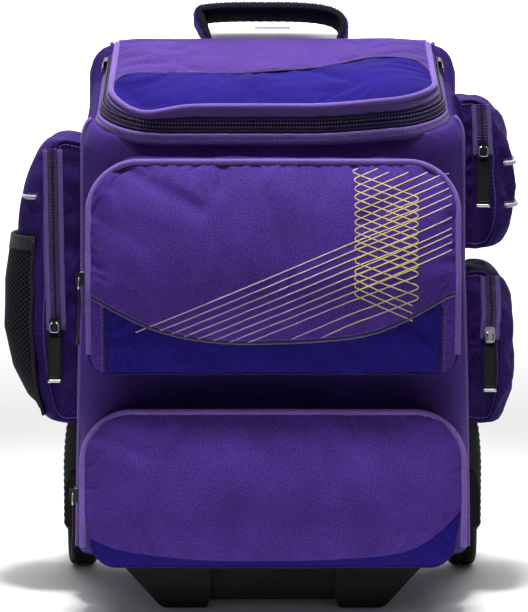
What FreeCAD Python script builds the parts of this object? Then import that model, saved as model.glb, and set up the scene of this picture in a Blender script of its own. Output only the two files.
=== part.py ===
"""Upright two-wheeled bowling bag with a zipped lid, five outer pockets and a two-stage pull handle.

Millimetres. X runs across the bag, +Y from the front to the back, +Z up. The wheels and the skid feet stand on
z = 0. Everything is drawn about the bag body's own centre line, and write_parts() moves it so that the origin
is at the bottom centre of the whole object's bounding box.
"""
import FreeCAD
import Part

import math
import os

V = FreeCAD.Vector

# ---- bag body -------------------------------------------------------------------------------------------
BASE_Z = 44.0                   # underside of the cloth body
BODY_FRONT, BODY_BACK = -115.0, 115.0
SECTIONS = ((BASE_Z, 172.0), (300.0, 168.0), (500.0, 154.0))  # (height, half width), straight between them
FRONT_CORNER_R, BACK_CORNER_R = 45.0, 20.0
WALL = 4.0                      # cloth, foam and lining together
FRONT_SEAM_Y, BACK_SEAM_Y = -65.0, 90.0  # seams between the front, side and back panels
LINE_GAP = 0.4                  # gap between the parts of a zipped seam
BOARD = 3.0                     # stiffener sheet
REACH = 400.0                   # half size of a cutting block

# ---- lid ------------------------------------------------------------------------------------------------
LID_BACK = 66.0                 # the seam that the lid turns on
ZIP_FRONT_Z, ZIP_BACK_Z = 418.0, 473.0
LID_FRONT_Z, LID_BACK_Z = 438.0, 490.0
LID_SKIN = 6.0
ZIP_BAND_BELOW, ZIP_BAND_ABOVE = 14.0, 9.0
ZIP_PROUD = 1.2
ZIP_ROOM = 0.8                  # gap kept round the lid zip by the pockets beside it
STRIP_FRONT_Z, STRIP_BACK_Z = 486.0, 468.0  # fixed cloth strip behind the lid

# ---- front pockets: (half width, bottom, top, front face, hinge line of the flap) --------------------------
UPPER_POCKET = (157.0, 211.0, 389.0, -174.0, 284.0)
LOWER_POCKET = (163.0, 47.0, 177.0, -176.0, 100.0)
POCKET_TOP_R, POCKET_BOTTOM_R = 42.0, 16.0
POCKET_CLOTH = 3.0
POCKET_FACE = 5.0
FRONT_ZIP_WIDTH, FRONT_ZIP_BACK = 12.0, 8.0  # the zip's width, and how far it starts behind the face
ZIP_TAPE, ZIP_CHAIN = 1.0, 2.2  # how far the tape and the teeth stand out
CHAIN_HALF = 2.6

# ---- side pockets -----------------------------------------------------------------------------------------
SIDE_POCKET_FRONT, SIDE_POCKET_BACK = -55.0, 60.0
LEFT_POCKET = ((-140, 396, 0), (-182, 405, 6), (-199, 403, 14), (-215, 368, 30), (-222, 330, 40),
               (-223, 230, 40), (-214, 185, 30), (-203, 156, 14), (-188, 151, 6), (-140, 157, 0))
RIGHT_UPPER_POCKET = ((140, 436, 0), (180, 441, 8), (198, 430, 18), (211, 395, 30), (214, 340, 25),
                      (207, 317, 14), (192, 305, 10), (140, 308, 0))
RIGHT_LOWER_POCKET = ((140, 286, 0), (190, 291, 8), (205, 281, 18), (216, 240, 35), (216, 190, 30),
                      (205, 158, 14), (196, 151, 8), (140, 157, 0))
MESH_POCKET = ((-200, 316, 0), (-231, 316, 0), (-237, 275, 30), (-239, 235, 30), (-231, 195, 30),
               (-212, 161, 18), (-196, 158, 0))
MESH_CLOTH = 1.5
SIDE_ZIP_HALF = 8.0
LEFT_ZIP = (-191.0, 234.0, 394.0)       # (centre x, lower end, upper end)
RIGHT_UPPER_ZIP = (183.0, 388.0, 434.0)
RIGHT_LOWER_ZIP = (190.0, 226.0, 284.0)
CORD_R = 2.2                    # reflective piping
LEFT_CORDS, RIGHT_CORDS = (334.0,), (378.0, 340.0)

# ---- wheels, skid and base -----------------------------------------------------------------------------
WHEEL_R, WHEEL_IN, WHEEL_OUT = 40.0, 162.0, 188.0
WHEEL_Y = 98.0
RIM_R, BOSS_R, BUSH_R, AXLE_R = 29.0, 10.0, 7.0, 4.0
BUSH_PLAY = 0.05
WHEEL_ROOM = 4.0                # gap between the tyre and the housing
WELL_X, WELL_FRONT, WELL_TOP = 152.0, 46.0, 112.0
HOUSING_OUT = 189.0
SKID_FRONT, SKID_BACK = -112.0, -60.0
SKID_WALL = 3.5

# ---- pull handle -----------------------------------------------------------------------------------------
TUBE_X, TUBE_Y = 46.0, 128.0
OUTER_TUBE, MID_TUBE, INNER_TUBE = (22.0, 13.0, 1.2), (19.0, 10.0, 1.1), (16.2, 7.2, 1.0)  # width, depth, wall
TUBE_FOOT_Z, TUBE_TOP_Z = 50.0, 462.0
COLLAR = 6.0
STAGE_TRAVEL = 270.0
GRIP_HALF, GRIP_TOP = 60.0, 495.0
ROD_R = 2.0
BUTTON_TRAVEL = 3.5

# ---- carry handle -----------------------------------------------------------------------------------------
CARRY_Y, CARRY_Z = 86.0, 482.5  # the line that it turns on
CARRY_LEAN = 28.0               # degrees that it leans back
CARRY_WIDTH = 28.0
CARRY_GAP = 2.6                 # gap over the strip, leaning and upright

# ---- zip sliders: width, length, base height ------------------------------------------------------------
SLIDER = (9.0, 14.0, 3.0)
CROWN = 4.2                     # height of the bridge that the pull hangs on
PIN_R = 0.8
RIDE = 0.4                      # gap under a slider
TAG_LENGTH, TAPE_LENGTH = 50.0, 56.0
SIDE_SLIDER_Z = {"left": 240.0, "right_upper": 394.0, "right_lower": 232.0}
FRONT_SLIDER_Z = {"upper": 291.0, "lower": 107.0}


# ---- drawing helpers ----------------------------------------------------------------------------------------
def outline(corners, place):
    """Closed wire through (u, v, radius) corners, each rounded to its radius. place maps (u, v) into space."""
    ends = []
    for i, (u, v, radius) in enumerate(corners):
        before, after = corners[i - 1], corners[(i + 1) % len(corners)]
        here = V(u, v, 0)
        to_before = V(before[0] - u, before[1] - v, 0).normalize()
        to_after = V(after[0] - u, after[1] - v, 0).normalize()
        if radius <= 0:
            ends.append((here, None, here))
            continue
        half = to_before.getAngle(to_after) / 2
        middle = (to_before + to_after).normalize()
        tangent = radius / math.tan(half)
        bulge = radius / math.sin(half) - radius
        ends.append((here + to_before * tangent, here + middle * bulge, here + to_after * tangent))
    edges = []
    for i, (start, through, end) in enumerate(ends):
        last = ends[i - 1][2]
        a, b = place(last.x, last.y), place(start.x, start.y)
        if (a - b).Length > 1e-6:
            edges.append(Part.LineSegment(a, b).toShape())
        if through is not None:
            edges.append(Part.Arc(b, place(through.x, through.y), place(end.x, end.y)).toShape())
    return Part.Wire(edges)


def slab(corners, axis, low, high):
    """Prism of a rounded polygon along an axis. The corners are (y, z), (x, z) or (x, y) for axis x, y or z."""
    place = {"x": lambda u, v: V(low, u, v),
             "y": lambda u, v: V(u, low, v),
             "z": lambda u, v: V(u, v, low)}[axis]
    along = {"x": V(1, 0, 0), "y": V(0, 1, 0), "z": V(0, 0, 1)}[axis]
    return Part.Face(outline(corners, place)).extrude(along * (high - low))


def box(x, y, z, radius=0.0, axis="z"):
    """Block between (low, high) pairs, with the edges along one axis rounded."""
    pairs = {"x": (y, z, x), "y": (x, z, y), "z": (x, y, z)}[axis]
    (u0, u1), (v0, v1), (low, high) = pairs
    return slab([(u0, v0, radius), (u1, v0, radius), (u1, v1, radius), (u0, v1, radius)], axis, low, high)


def rod(radius, start, along):
    """Cylinder from start, with the length and direction of along."""
    return Part.makeCylinder(radius, along.Length, start, along)


def mirrored(shape):
    """The same piece on the other side of the bag."""
    return shape.mirror(V(0, 0, 0), V(1, 0, 0))


def fused(first, *others):
    """One solid from pieces that touch or overlap."""
    return first.multiFuse(list(others)).removeSplitter()


def height_on(y, front_z, back_z, front_y=BODY_FRONT, back_y=LID_BACK):
    """Height at y of the sloping line through (front_y, front_z) and (back_y, back_z)."""
    return front_z + (back_z - front_z) * (y - front_y) / (back_y - front_y)


def zip_z(y):
    return height_on(y, ZIP_FRONT_Z, ZIP_BACK_Z)


def lid_z(y):
    return height_on(y, LID_FRONT_Z, LID_BACK_Z)


def strip_z(y):
    return height_on(y, STRIP_FRONT_Z, STRIP_BACK_Z, LID_BACK, BODY_BACK)


def between(line_low, drop_low, line_high, drop_high, y_low, y_high):
    """Block across the whole bag between two sloping lines, each moved by a drop."""
    corners = [(y_low, line_low(y_low) + drop_low, 0), (y_high, line_low(y_high) + drop_low, 0),
               (y_high, line_high(y_high) + drop_high, 0), (y_low, line_high(y_low) + drop_high, 0)]
    return slab(corners, "x", -REACH, REACH)


def floor_line(_):
    return 0.0


def half_width(z):
    """Half width of the body at a height, between its sections."""
    for (z0, w0), (z1, w1) in zip(SECTIONS, SECTIONS[1:]):
        if z <= z1:
            return w0 + (w1 - w0) * (z - z0) / (z1 - z0)
    return SECTIONS[-1][1]


def body_block(inset=0.0):
    """The body's outer form, drawn in by inset: rounded plan outlines joined by straight ruled faces."""
    wires = []
    for z, half in SECTIONS:
        front, back, side = BODY_FRONT + inset, BODY_BACK - inset, half - inset
        corners = [(-side, front, FRONT_CORNER_R - inset), (side, front, FRONT_CORNER_R - inset),
                   (side, back, BACK_CORNER_R - inset), (-side, back, BACK_CORNER_R - inset)]
        wires.append(outline(corners, lambda u, v, z=z: V(u, v, z)))
    return Part.makeLoft(wires, True, True)


BODY = body_block()
WALLS = BODY.cut(body_block(WALL))
WELL = box((WELL_X, 230), (WELL_FRONT, 160), (0, WELL_TOP))
WELLS = fused(WELL, mirrored(WELL))


# ---- cloth body ---------------------------------------------------------------------------------------------
def body_panels():
    """Front, side and back panels, cut from one wall at the vertical seams, and the bottom panel."""
    under_lid = between(floor_line, 0, zip_z, -ZIP_BAND_BELOW, BODY_FRONT - 10, LID_BACK + LINE_GAP)
    under_strip = between(floor_line, 0, strip_z, 0, LID_BACK + LINE_GAP, BODY_BACK + 10)
    walls = WALLS.common(under_lid.fuse(under_strip)).cut(WELLS)
    front = walls.common(box((-REACH, REACH), (-REACH, FRONT_SEAM_Y), (0, 600)))
    side = walls.common(box((0, REACH), (FRONT_SEAM_Y, BACK_SEAM_Y), (0, 600)))
    back = walls.common(box((-REACH, REACH), (BACK_SEAM_Y, REACH), (0, 600)))
    floor = body_block(WALL).common(box((-REACH, REACH), (-REACH, REACH), (BASE_Z, BASE_Z + WALL))).cut(WELLS)
    return {"front_panel": front, "right_side_panel": side, "left_side_panel": mirrored(side),
            "back_panel": back, "bottom_panel": floor}


def rear_top_strip():
    """Cloth strip across the top behind the lid, which carries the carry handle."""
    return body_block(WALL).common(between(strip_z, -WALL, strip_z, 0, LID_BACK + LINE_GAP, BODY_BACK))


def stiffeners():
    """Plastic boards that hold the floor flat and the back upright."""
    floor_top = BASE_Z + WALL
    base = box((-148, 148), (BODY_FRONT + 12, BODY_BACK - 12), (floor_top, floor_top + BOARD), 30)
    inside = BODY_BACK - WALL
    back = box((-120, 120), (inside - BOARD, inside), (floor_top + BOARD, 440), 12, "y")
    return {"base_board": base.cut(WELLS), "back_board": back.cut(WELLS)}


def ball_cradle():
    """Foam ring that keeps a ball from rolling about. Its seat is a cone."""
    floor_top = BASE_Z + WALL + BOARD
    ring = Part.makeCylinder(92, 34, V(0, -8, floor_top))
    hole = Part.makeCylinder(48, 34, V(0, -8, floor_top))
    seat = Part.makeCone(48, 78, 26, V(0, -8, floor_top + 10))
    return ring.cut(hole).cut(seat)


def lid():
    """Lid skin with its lip, and the half of the zip that is sewn to the lip."""
    front = BODY_FRONT - 10
    lip = WALLS.common(between(zip_z, ZIP_BAND_ABOVE, lid_z, 0, front, LID_BACK))
    skin = BODY.common(between(lid_z, -LID_SKIN, lid_z, 0, front, LID_BACK))
    skin = skin.cut(between(floor_line, 0, zip_z, ZIP_BAND_ABOVE, front, LID_BACK))
    return fused(skin, lip)


def zip_band(low, high):
    """One half of the lid zip: a band that follows the wall and stands a little proud of it."""
    ring = body_block(-ZIP_PROUD).cut(body_block(WALL))
    return ring.common(between(zip_z, low, zip_z, high, BODY_FRONT - 10, LID_BACK - 8))


# ---- pockets --------------------------------------------------------------------------------------------------
def pocket_corners(pocket, grow=0.0):
    """Front view of a front pocket: a rectangle with large top and small bottom corners, grown by grow."""
    half, bottom, top = pocket[0] + grow, pocket[1] - grow, pocket[2] + grow
    return [(-half, bottom, POCKET_BOTTOM_R + grow), (half, bottom, POCKET_BOTTOM_R + grow),
            (half, top, POCKET_TOP_R + grow), (-half, top, POCKET_TOP_R + grow)]


def front_pocket(pocket):
    """Pouch with its side wall and lower face, the flap that folds down, and the zip round the side wall."""
    face, hinge = pocket[3], pocket[4]
    wall = slab(pocket_corners(pocket), "y", face, -70)
    wall = wall.cut(slab(pocket_corners(pocket, -POCKET_CLOTH), "y", face + POCKET_FACE, -70))
    wall = wall.cut(BODY)
    front = box((-REACH, REACH), (face - 10, face + POCKET_FACE), (hinge, 600))
    flap = wall.common(box((-REACH, REACH), (face - 10, face + POCKET_FACE - LINE_GAP), (hinge + LINE_GAP, 600)))
    near, far = face + FRONT_ZIP_BACK, face + FRONT_ZIP_BACK + FRONT_ZIP_WIDTH
    middle = (near + far) / 2
    inner = slab(pocket_corners(pocket), "y", near, far)
    tape = slab(pocket_corners(pocket, ZIP_TAPE), "y", near, far).cut(inner)
    chain = slab(pocket_corners(pocket, ZIP_CHAIN), "y", middle - CHAIN_HALF, middle + CHAIN_HALF).cut(inner)
    upper_part = box((-REACH, REACH), (-REACH, 0), (hinge, 600))
    return wall.cut(front), flap, fused(tape, chain).common(upper_part)


def side_pocket(corners):
    """Side pocket: a hollow gusset and face, open towards the side panel that it is sewn to."""
    solid = slab(corners, "y", SIDE_POCKET_FRONT, SIDE_POCKET_BACK)
    centre = solid.BoundBox.Center
    sign = 1 if centre.x > 0 else -1
    hollow = slab(corners, "y", SIDE_POCKET_FRONT + POCKET_CLOTH, SIDE_POCKET_BACK - POCKET_CLOTH)
    spread = FreeCAD.Matrix()
    spread.scale(1.0, 1.0, 1 - 2 * POCKET_CLOTH / solid.BoundBox.ZLength)
    hollow = hollow.transformGeometry(spread)
    hollow.translate(V(-sign * POCKET_CLOTH, 0, centre.z * 2 * POCKET_CLOTH / solid.BoundBox.ZLength))
    zip_room = body_block(-ZIP_PROUD - ZIP_ROOM)
    zip_room = zip_room.common(between(zip_z, -ZIP_BAND_BELOW - ZIP_ROOM, lid_z, ZIP_BAND_ABOVE, BODY_FRONT, LID_BACK))
    return solid.cut(hollow).cut(BODY).cut(zip_room)


def mesh_pocket():
    """Elastic mesh sleeve on the left pocket, open at the top."""
    front, back = SIDE_POCKET_FRONT + 4, SIDE_POCKET_BACK - 4
    whole = slab(MESH_POCKET, "y", front, back)
    hollow = slab(MESH_POCKET, "y", front + MESH_CLOTH, back - MESH_CLOTH)
    hollow.translate(V(MESH_CLOTH, 0, MESH_CLOTH))
    top = box((-REACH, 0), (front + MESH_CLOTH, back - MESH_CLOTH), (300, 340))
    top = top.common(slab(MESH_POCKET, "y", front, back).translated(V(MESH_CLOTH, 0, 0)))
    return whole.cut(hollow).cut(top).cut(slab(LEFT_POCKET, "y", SIDE_POCKET_FRONT, SIDE_POCKET_BACK))


def side_zip(zip_line):
    """Straight zip on the front of a side pocket: two tapes and the chain between them."""
    x, low, high = zip_line
    face = SIDE_POCKET_FRONT
    tape = box((x - SIDE_ZIP_HALF, x + SIDE_ZIP_HALF), (face - ZIP_TAPE, face), (low, high))
    chain = box((x - CHAIN_HALF, x + CHAIN_HALF), (face - ZIP_CHAIN, face), (low, high))
    return fused(tape, chain)


def reflective_piping():
    """Grey cords along the outer faces of the side pockets, each a straight run on the face."""
    cords = []
    for corners, heights in ((LEFT_POCKET, LEFT_CORDS), (RIGHT_UPPER_POCKET, RIGHT_CORDS)):
        solid = slab(corners, "y", SIDE_POCKET_FRONT, SIDE_POCKET_BACK)
        for z in heights:
            level = solid.common(box((-REACH, REACH), (-REACH, REACH), (z - 0.5, z + 0.5))).BoundBox
            x = level.XMin - CORD_R if level.Center.x < 0 else level.XMax + CORD_R
            cords.append(rod(CORD_R, V(x, SIDE_POCKET_FRONT + 2, z), V(0, 111, 0)))
    return Part.makeCompound(cords)


# ---- wheels, skid and base ---------------------------------------------------------------------------------
def wheel():
    """Right wheel's tyre, hub and bush, about its axle."""
    centre = V(WHEEL_IN, WHEEL_Y, WHEEL_R)
    along = V(WHEEL_OUT - WHEEL_IN, 0, 0)
    tyre = rod(WHEEL_R, centre, along)
    tyre = tyre.makeFillet(5.0, [e for e in tyre.Edges if len(e.Vertexes) == 1])
    tyre = tyre.cut(rod(RIM_R, centre, along))
    rim = rod(RIM_R, centre, along).cut(rod(RIM_R - 4, centre, along))
    web = rod(RIM_R - 2, centre + V(10, 0, 0), V(6, 0, 0))
    for i in range(5):
        turn = math.radians(72 * i + 18)
        window = centre + V(8, 17.5 * math.cos(turn), 17.5 * math.sin(turn))
        web = web.cut(rod(5.0, window, V(10, 0, 0)))
    boss_start = V(WHEEL_IN - 3.5, WHEEL_Y, WHEEL_R)
    boss_along = V(WHEEL_OUT - WHEEL_IN + 3.5, 0, 0)
    hub = fused(rim, web, rod(BOSS_R, boss_start, boss_along)).cut(rod(BUSH_R, boss_start, boss_along))
    bush = rod(BUSH_R, boss_start, boss_along).cut(rod(AXLE_R + BUSH_PLAY, boss_start, boss_along))
    return tyre, hub, bush


def axle():
    """Right axle: a steel pin pressed into the housing, with a head outside the wheel."""
    start = V(WELL_X, WHEEL_Y, WHEEL_R)
    pin = rod(AXLE_R, start, V(WHEEL_OUT + 0.6 - WELL_X, 0, 0))
    return fused(pin, rod(7.0, V(WHEEL_OUT + 0.6, WHEEL_Y, WHEEL_R), V(2.2, 0, 0)))


def wheel_housing():
    """Right housing: a moulded corner with a round well for the wheel. Its outer top edge is sloped."""
    side_view = [(WELL_FRONT, 44, 0), (WELL_FRONT, 94, 0), (66, WELL_TOP, 20), (116, WELL_TOP, 24),
                 (146, 84, 18), (146, 44, 0)]
    front_view = [(WELL_X, 30, 0), (HOUSING_OUT, 30, 0), (HOUSING_OUT, 80, 12), (177, WELL_TOP, 6),
                  (WELL_X, WELL_TOP, 0)]
    block = slab(side_view, "x", WELL_X, HOUSING_OUT).common(slab(front_view, "y", 0, 200))
    well = rod(WHEEL_R + WHEEL_ROOM, V(WELL_X + 5.5, WHEEL_Y, WHEEL_R), V(60, 0, 0))
    return block.cut(well).cut(axle())


def front_skid():
    """Two moulded feet joined by a bar, hollow above, that stand the front of the bag level with the wheels."""
    foot = [(54, BASE_Z, 0), (54, 8, 0), (58, 0, 3), (96, 0, 12), (136, BASE_Z, 0)]
    hollow = [(54 + SKID_WALL, BASE_Z, 0), (54 + SKID_WALL, SKID_WALL, 0), (93, SKID_WALL, 10),
              (130, BASE_Z, 0)]
    right = slab(foot, "y", SKID_FRONT, SKID_BACK)
    right = right.cut(slab(hollow, "y", SKID_FRONT + SKID_WALL, SKID_BACK - SKID_WALL))
    bar = box((-54, 54), (SKID_FRONT + 7, SKID_BACK - 6), (6, BASE_Z))
    bar = bar.cut(box((-54, 54), (SKID_FRONT + 7 + SKID_WALL, SKID_BACK - 6 - SKID_WALL), (6 + SKID_WALL, BASE_Z)))
    return fused(right, mirrored(right), bar)


def rear_base():
    """Beam across the back of the floor, between the wheel housings, with the sockets of the pull handle's tubes."""
    under = box((-WELL_X, WELL_X), (60, BODY_BACK), (36, BASE_Z))
    behind = box((-WELL_X, WELL_X), (BODY_BACK, 138), (36, 66), 0, "y")
    beam = fused(under, behind)
    for tube in tube_pair(OUTER_TUBE, TUBE_FOOT_Z, TUBE_TOP_Z, solid=True):
        beam = beam.cut(tube)
    return beam


# ---- pull handle --------------------------------------------------------------------------------------------
def tube_pair(size, low, high, solid=False):
    """Left and right tube of one stage."""
    width, depth, wall = size
    tubes = []
    for x in (-TUBE_X, TUBE_X):
        tube = box((x - width / 2, x + width / 2), (TUBE_Y - depth / 2, TUBE_Y + depth / 2), (low, high), depth * 0.3)
        if not solid:
            width_in, depth_in = width / 2 - wall, depth / 2 - wall
            tube = tube.cut(box((x - width_in, x + width_in), (TUBE_Y - depth_in, TUBE_Y + depth_in),
                                (low, high), depth * 0.3 - wall * 0.8))
        tubes.append(tube)
    return tubes


def collared(size, low, high, collar_size):
    """Tubes with a moulded collar round each top end, which rests on the stage outside it."""
    tubes = tube_pair(size, low, high)
    collars = tube_pair(collar_size, high - COLLAR, high, solid=True)
    cores = tube_pair(size, high - COLLAR, high, solid=True)
    return Part.makeCompound([fused(t, c.cut(k)) for t, c, k in zip(tubes, collars, cores)])


def pull_handle():
    """Outer tubes, the bezel that holds them, two sliding stages, the grip, its button and the release rods."""
    outer = tube_pair(OUTER_TUBE, TUBE_FOOT_Z, TUBE_TOP_Z)
    bezel = box((-66, 66), (BODY_BACK, 141), (438, TUBE_TOP_Z), 5)
    for tube in tube_pair(OUTER_TUBE, TUBE_FOOT_Z, TUBE_TOP_Z, solid=True):
        bezel = bezel.cut(tube)
    mid_top = TUBE_TOP_Z + LINE_GAP + COLLAR
    mid = collared(MID_TUBE, TUBE_FOOT_Z + 8, mid_top, (24.0, 15.0, 0))
    inner_top = mid_top + LINE_GAP + COLLAR
    inner = collared(INNER_TUBE, TUBE_FOOT_Z + 16, inner_top, (22.0, 13.0, 0))
    grip = box((-GRIP_HALF, GRIP_HALF), (TUBE_Y - 10, TUBE_Y + 10), (inner_top, GRIP_TOP), 7, "y")
    grip = grip.common(box((-GRIP_HALF, GRIP_HALF), (TUBE_Y - 10, TUBE_Y + 10), (inner_top, GRIP_TOP), 6, "x"))
    rod_top = GRIP_TOP - 6
    button_room = box((-17, 17), (TUBE_Y - 5.5, TUBE_Y + 5.5), (rod_top - 5, GRIP_TOP), 3)
    yoke_room = box((-TUBE_X - 4, TUBE_X + 4), (TUBE_Y - 3, TUBE_Y + 3), (rod_top - 9, rod_top))
    for x in (-TUBE_X, TUBE_X):
        grip = grip.cut(rod(ROD_R + 1, V(x, TUBE_Y, inner_top), V(0, 0, rod_top - inner_top)))
    grip = grip.cut(button_room).cut(yoke_room)
    button = box((-16.5, 16.5), (TUBE_Y - 5, TUBE_Y + 5), (rod_top, GRIP_TOP + 2.2), 2.6)
    yoke = box((-TUBE_X - 3, TUBE_X + 3), (TUBE_Y - 2, TUBE_Y + 2), (rod_top - 4, rod_top))
    rods = [rod(ROD_R, V(x, TUBE_Y, TUBE_FOOT_Z + 30), V(0, 0, rod_top - 4 - TUBE_FOOT_Z - 30))
            for x in (-TUBE_X, TUBE_X)]
    return {"trolley_outer_tubes": Part.makeCompound(outer), "trolley_bezel": bezel,
            "trolley_mid_tubes": mid, "trolley_inner_tubes": inner, "trolley_grip": grip,
            "grip_button": button, "release_rods": fused(yoke, *rods)}


# ---- carry handle --------------------------------------------------------------------------------------------
def carry_handle():
    """Padded loop on the top strip, leaning back, and the two webbing tabs that hold its ends."""
    loop = [(-66, 2, 0), (-75, 32, 14), (75, 32, 14), (66, 2, 0),
            (56, 2, 0), (61, 22, 8), (-61, 22, 8), (-56, 2, 0)]
    band = slab(loop, "y", -CARRY_WIDTH / 2, CARRY_WIDTH / 2)
    band.rotate(V(0, 0, 0), V(1, 0, 0), -CARRY_LEAN)
    band.translate(V(0, CARRY_Y, CARRY_Z))
    room = between(floor_line, 0, strip_z, CARRY_GAP, LID_BACK - 10, BODY_BACK + 10)
    upright_room = room.copy()
    upright_room.rotate(V(0, CARRY_Y, CARRY_Z), V(1, 0, 0), -CARRY_LEAN)
    band = band.cut(room).cut(upright_room)
    tab = between(strip_z, 0, strip_z, 2.0, 72, 104).common(box((50, 78), (60, 120), (400, 520)))
    return band, Part.makeCompound([tab, mirrored(tab)])


# ---- zip sliders and pulls --------------------------------------------------------------------------------
def slider():
    """Slider in its own axes: x across the chain, y along it, z out of the cloth. A bridge holds the pull."""
    width, length, base = SLIDER
    plate = box((-width / 2, width / 2), (-length / 2, length / 2), (RIDE, RIDE + base), 2.5)
    bridge = box((-1.8, 1.8), (-5, 5), (RIDE + base, RIDE + base + CROWN), 0)
    hole = box((-3, 3), (-2.6, 2.6), (RIDE + base, RIDE + base + CROWN - 1.2))
    return fused(plate, bridge.cut(hole))


PIN_HEIGHT = RIDE + SLIDER[2] + 1.4


def tag_pull(width, length, thick):
    """Pull that hangs on a slider: a wire loop through the bridge, and a flat tag or tape below it."""
    pin = rod(PIN_R, V(-4, 0, PIN_HEIGHT), V(8, 0, 0))
    foot = rod(PIN_R, V(-4, -11, PIN_HEIGHT), V(8, 0, 0))
    arms = [rod(PIN_R, V(x, 0, PIN_HEIGHT), V(0, -11, 0)) for x in (-4, 4)]
    knees = [Part.makeSphere(PIN_R, V(x, y, PIN_HEIGHT)) for x in (-4, 4) for y in (0, -11)]
    tag = box((-width / 2, width / 2), (-length, -10), (PIN_HEIGHT - thick / 2, PIN_HEIGHT + thick / 2), 1.5)
    return fused(pin, foot, *arms, *knees, tag)


def placed(shape, origin, across, along, out):
    """Puts a piece drawn in slider axes onto the bag."""
    matrix = FreeCAD.Matrix(across.x, along.x, out.x, origin.x, across.y, along.y, out.y, origin.y,
                            across.z, along.z, out.z, origin.z, 0, 0, 0, 1)
    piece = shape.copy()
    piece.Placement = FreeCAD.Placement(matrix)
    return piece


def slider_places():
    """Name, origin and axes of each pocket slider."""
    front = (V(1, 0, 0), V(0, 0, 1), V(0, -1, 0))
    left = (V(0, -1, 0), V(0, 0, 1), V(-1, 0, 0))
    chain_y = SIDE_POCKET_FRONT - ZIP_CHAIN
    places = [("left_pocket", V(LEFT_ZIP[0], chain_y, SIDE_SLIDER_Z["left"]), front),
              ("right_upper", V(RIGHT_UPPER_ZIP[0], chain_y, SIDE_SLIDER_Z["right_upper"]), front),
              ("right_lower", V(RIGHT_LOWER_ZIP[0], chain_y, SIDE_SLIDER_Z["right_lower"]), front)]
    for name, pocket in (("upper_pocket", UPPER_POCKET), ("lower_pocket", LOWER_POCKET)):
        y = pocket[3] + FRONT_ZIP_BACK + FRONT_ZIP_WIDTH / 2
        z = FRONT_SLIDER_Z[name.split("_")[0]]
        places.append((name, V(-pocket[0] - ZIP_CHAIN, y, z), left))
    return places


def lid_slider_axes(side):
    """Place and axes of a lid slider, parked at the back end of the zip. side is -1 left, 1 right."""
    y = LID_BACK - 18
    z = zip_z(y)
    lean = (SECTIONS[2][1] - SECTIONS[1][1]) / (SECTIONS[2][0] - SECTIONS[1][0])
    slope = (ZIP_BACK_Z - ZIP_FRONT_Z) / (LID_BACK - BODY_FRONT)
    along = V(side * lean * slope, 1, slope).normalize()
    out = V(side, 0, -lean).normalize()
    across = along.cross(out)
    return V(side * (half_width(z) + ZIP_PROUD + 0.6), y, z), across, along, out


def lid_slider(side):
    """Lid slider with its short tab sewn flat against it."""
    tab = box((-2.5, 2.5), (-22, -4), (RIDE + SLIDER[2] + 0.2, RIDE + SLIDER[2] + 1.8), 1.5)
    return placed(fused(slider(), tab), *lid_slider_axes(side))


# ---- fasteners ------------------------------------------------------------------------------------------------
def screws():
    """Pan-head screws: two under each skid foot, four in the rear beam and four in the bezel."""
    items = []
    for x in (-80, 80):
        for y in (-98, -74):
            items.append(screw(V(x, y, SKID_WALL), V(0, 0, -1), 3.2, 3.0))
    for x in (-120, -90, 90, 120):
        items.append(screw(V(x, 138, 52), V(0, 1, 0), 4.0, 3.5))
    for x in (-60, 60):
        for z in (444, 456):
            items.append(screw(V(x, 141, z), V(0, 1, 0), 3.0, 8.0))
    return items


def screw(seat, out, head, shank):
    """One screw whose head stands on seat, facing out."""
    return fused(rod(head, seat, out * 1.8), rod(head * 0.5, seat - out * shank, out * shank))


# ---- the whole object -------------------------------------------------------------------------------------------
def build():
    parts = body_panels()
    parts["rear_top_strip"] = rear_top_strip()
    parts.update(stiffeners())
    parts["ball_cradle"] = ball_cradle()
    parts["lid_panel"] = lid()
    parts["lid_zip_upper"] = zip_band(LINE_GAP, ZIP_BAND_ABOVE)
    parts["lid_zip_lower"] = zip_band(-ZIP_BAND_BELOW, -LINE_GAP)
    for name, pocket in (("upper_pocket", UPPER_POCKET), ("lower_pocket", LOWER_POCKET)):
        pouch, flap, zip_tape = front_pocket(pocket)
        parts[name + "_pouch"] = pouch
        parts[name + "_flap"] = flap
        parts[name + "_zip"] = zip_tape
    parts["left_pocket"] = side_pocket(LEFT_POCKET)
    parts["right_upper_pocket"] = side_pocket(RIGHT_UPPER_POCKET)
    parts["right_lower_pocket"] = side_pocket(RIGHT_LOWER_POCKET)
    parts["mesh_pocket"] = mesh_pocket()
    parts["left_pocket_zip"] = side_zip(LEFT_ZIP)
    parts["right_upper_zip"] = side_zip(RIGHT_UPPER_ZIP)
    parts["right_lower_zip"] = side_zip(RIGHT_LOWER_ZIP)
    parts["reflective_piping"] = reflective_piping()
    tyre, hub, bush = wheel()
    for name, shape in (("tyre", tyre), ("wheel_hub", hub), ("wheel_bush", bush), ("axle", axle()),
                        ("wheel_housing", wheel_housing())):
        parts[name + "_right"] = shape
        parts[name + "_left"] = mirrored(shape)
    parts["front_skid"] = front_skid()
    parts["rear_base"] = rear_base()
    parts.update(pull_handle())
    parts["carry_handle"], parts["handle_tabs"] = carry_handle()
    for name, origin, axes in slider_places():
        parts[name + "_slider"] = placed(slider(), origin, *axes)
        size = (6.0, TAPE_LENGTH, 1.6) if origin.y < -100 else (12.0, TAG_LENGTH, 2.4)
        parts[name + "_pull"] = placed(tag_pull(*size), origin, *axes)
    parts["lid_slider_left"] = lid_slider(-1)
    parts["lid_slider_right"] = lid_slider(1)
    pins = screws()
    parts["screws"] = Part.makeCompound(pins)
    for name in ("rear_base", "trolley_bezel", "front_skid"):
        for pin in pins:
            parts[name] = parts[name].cut(pin)
    return parts


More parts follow.
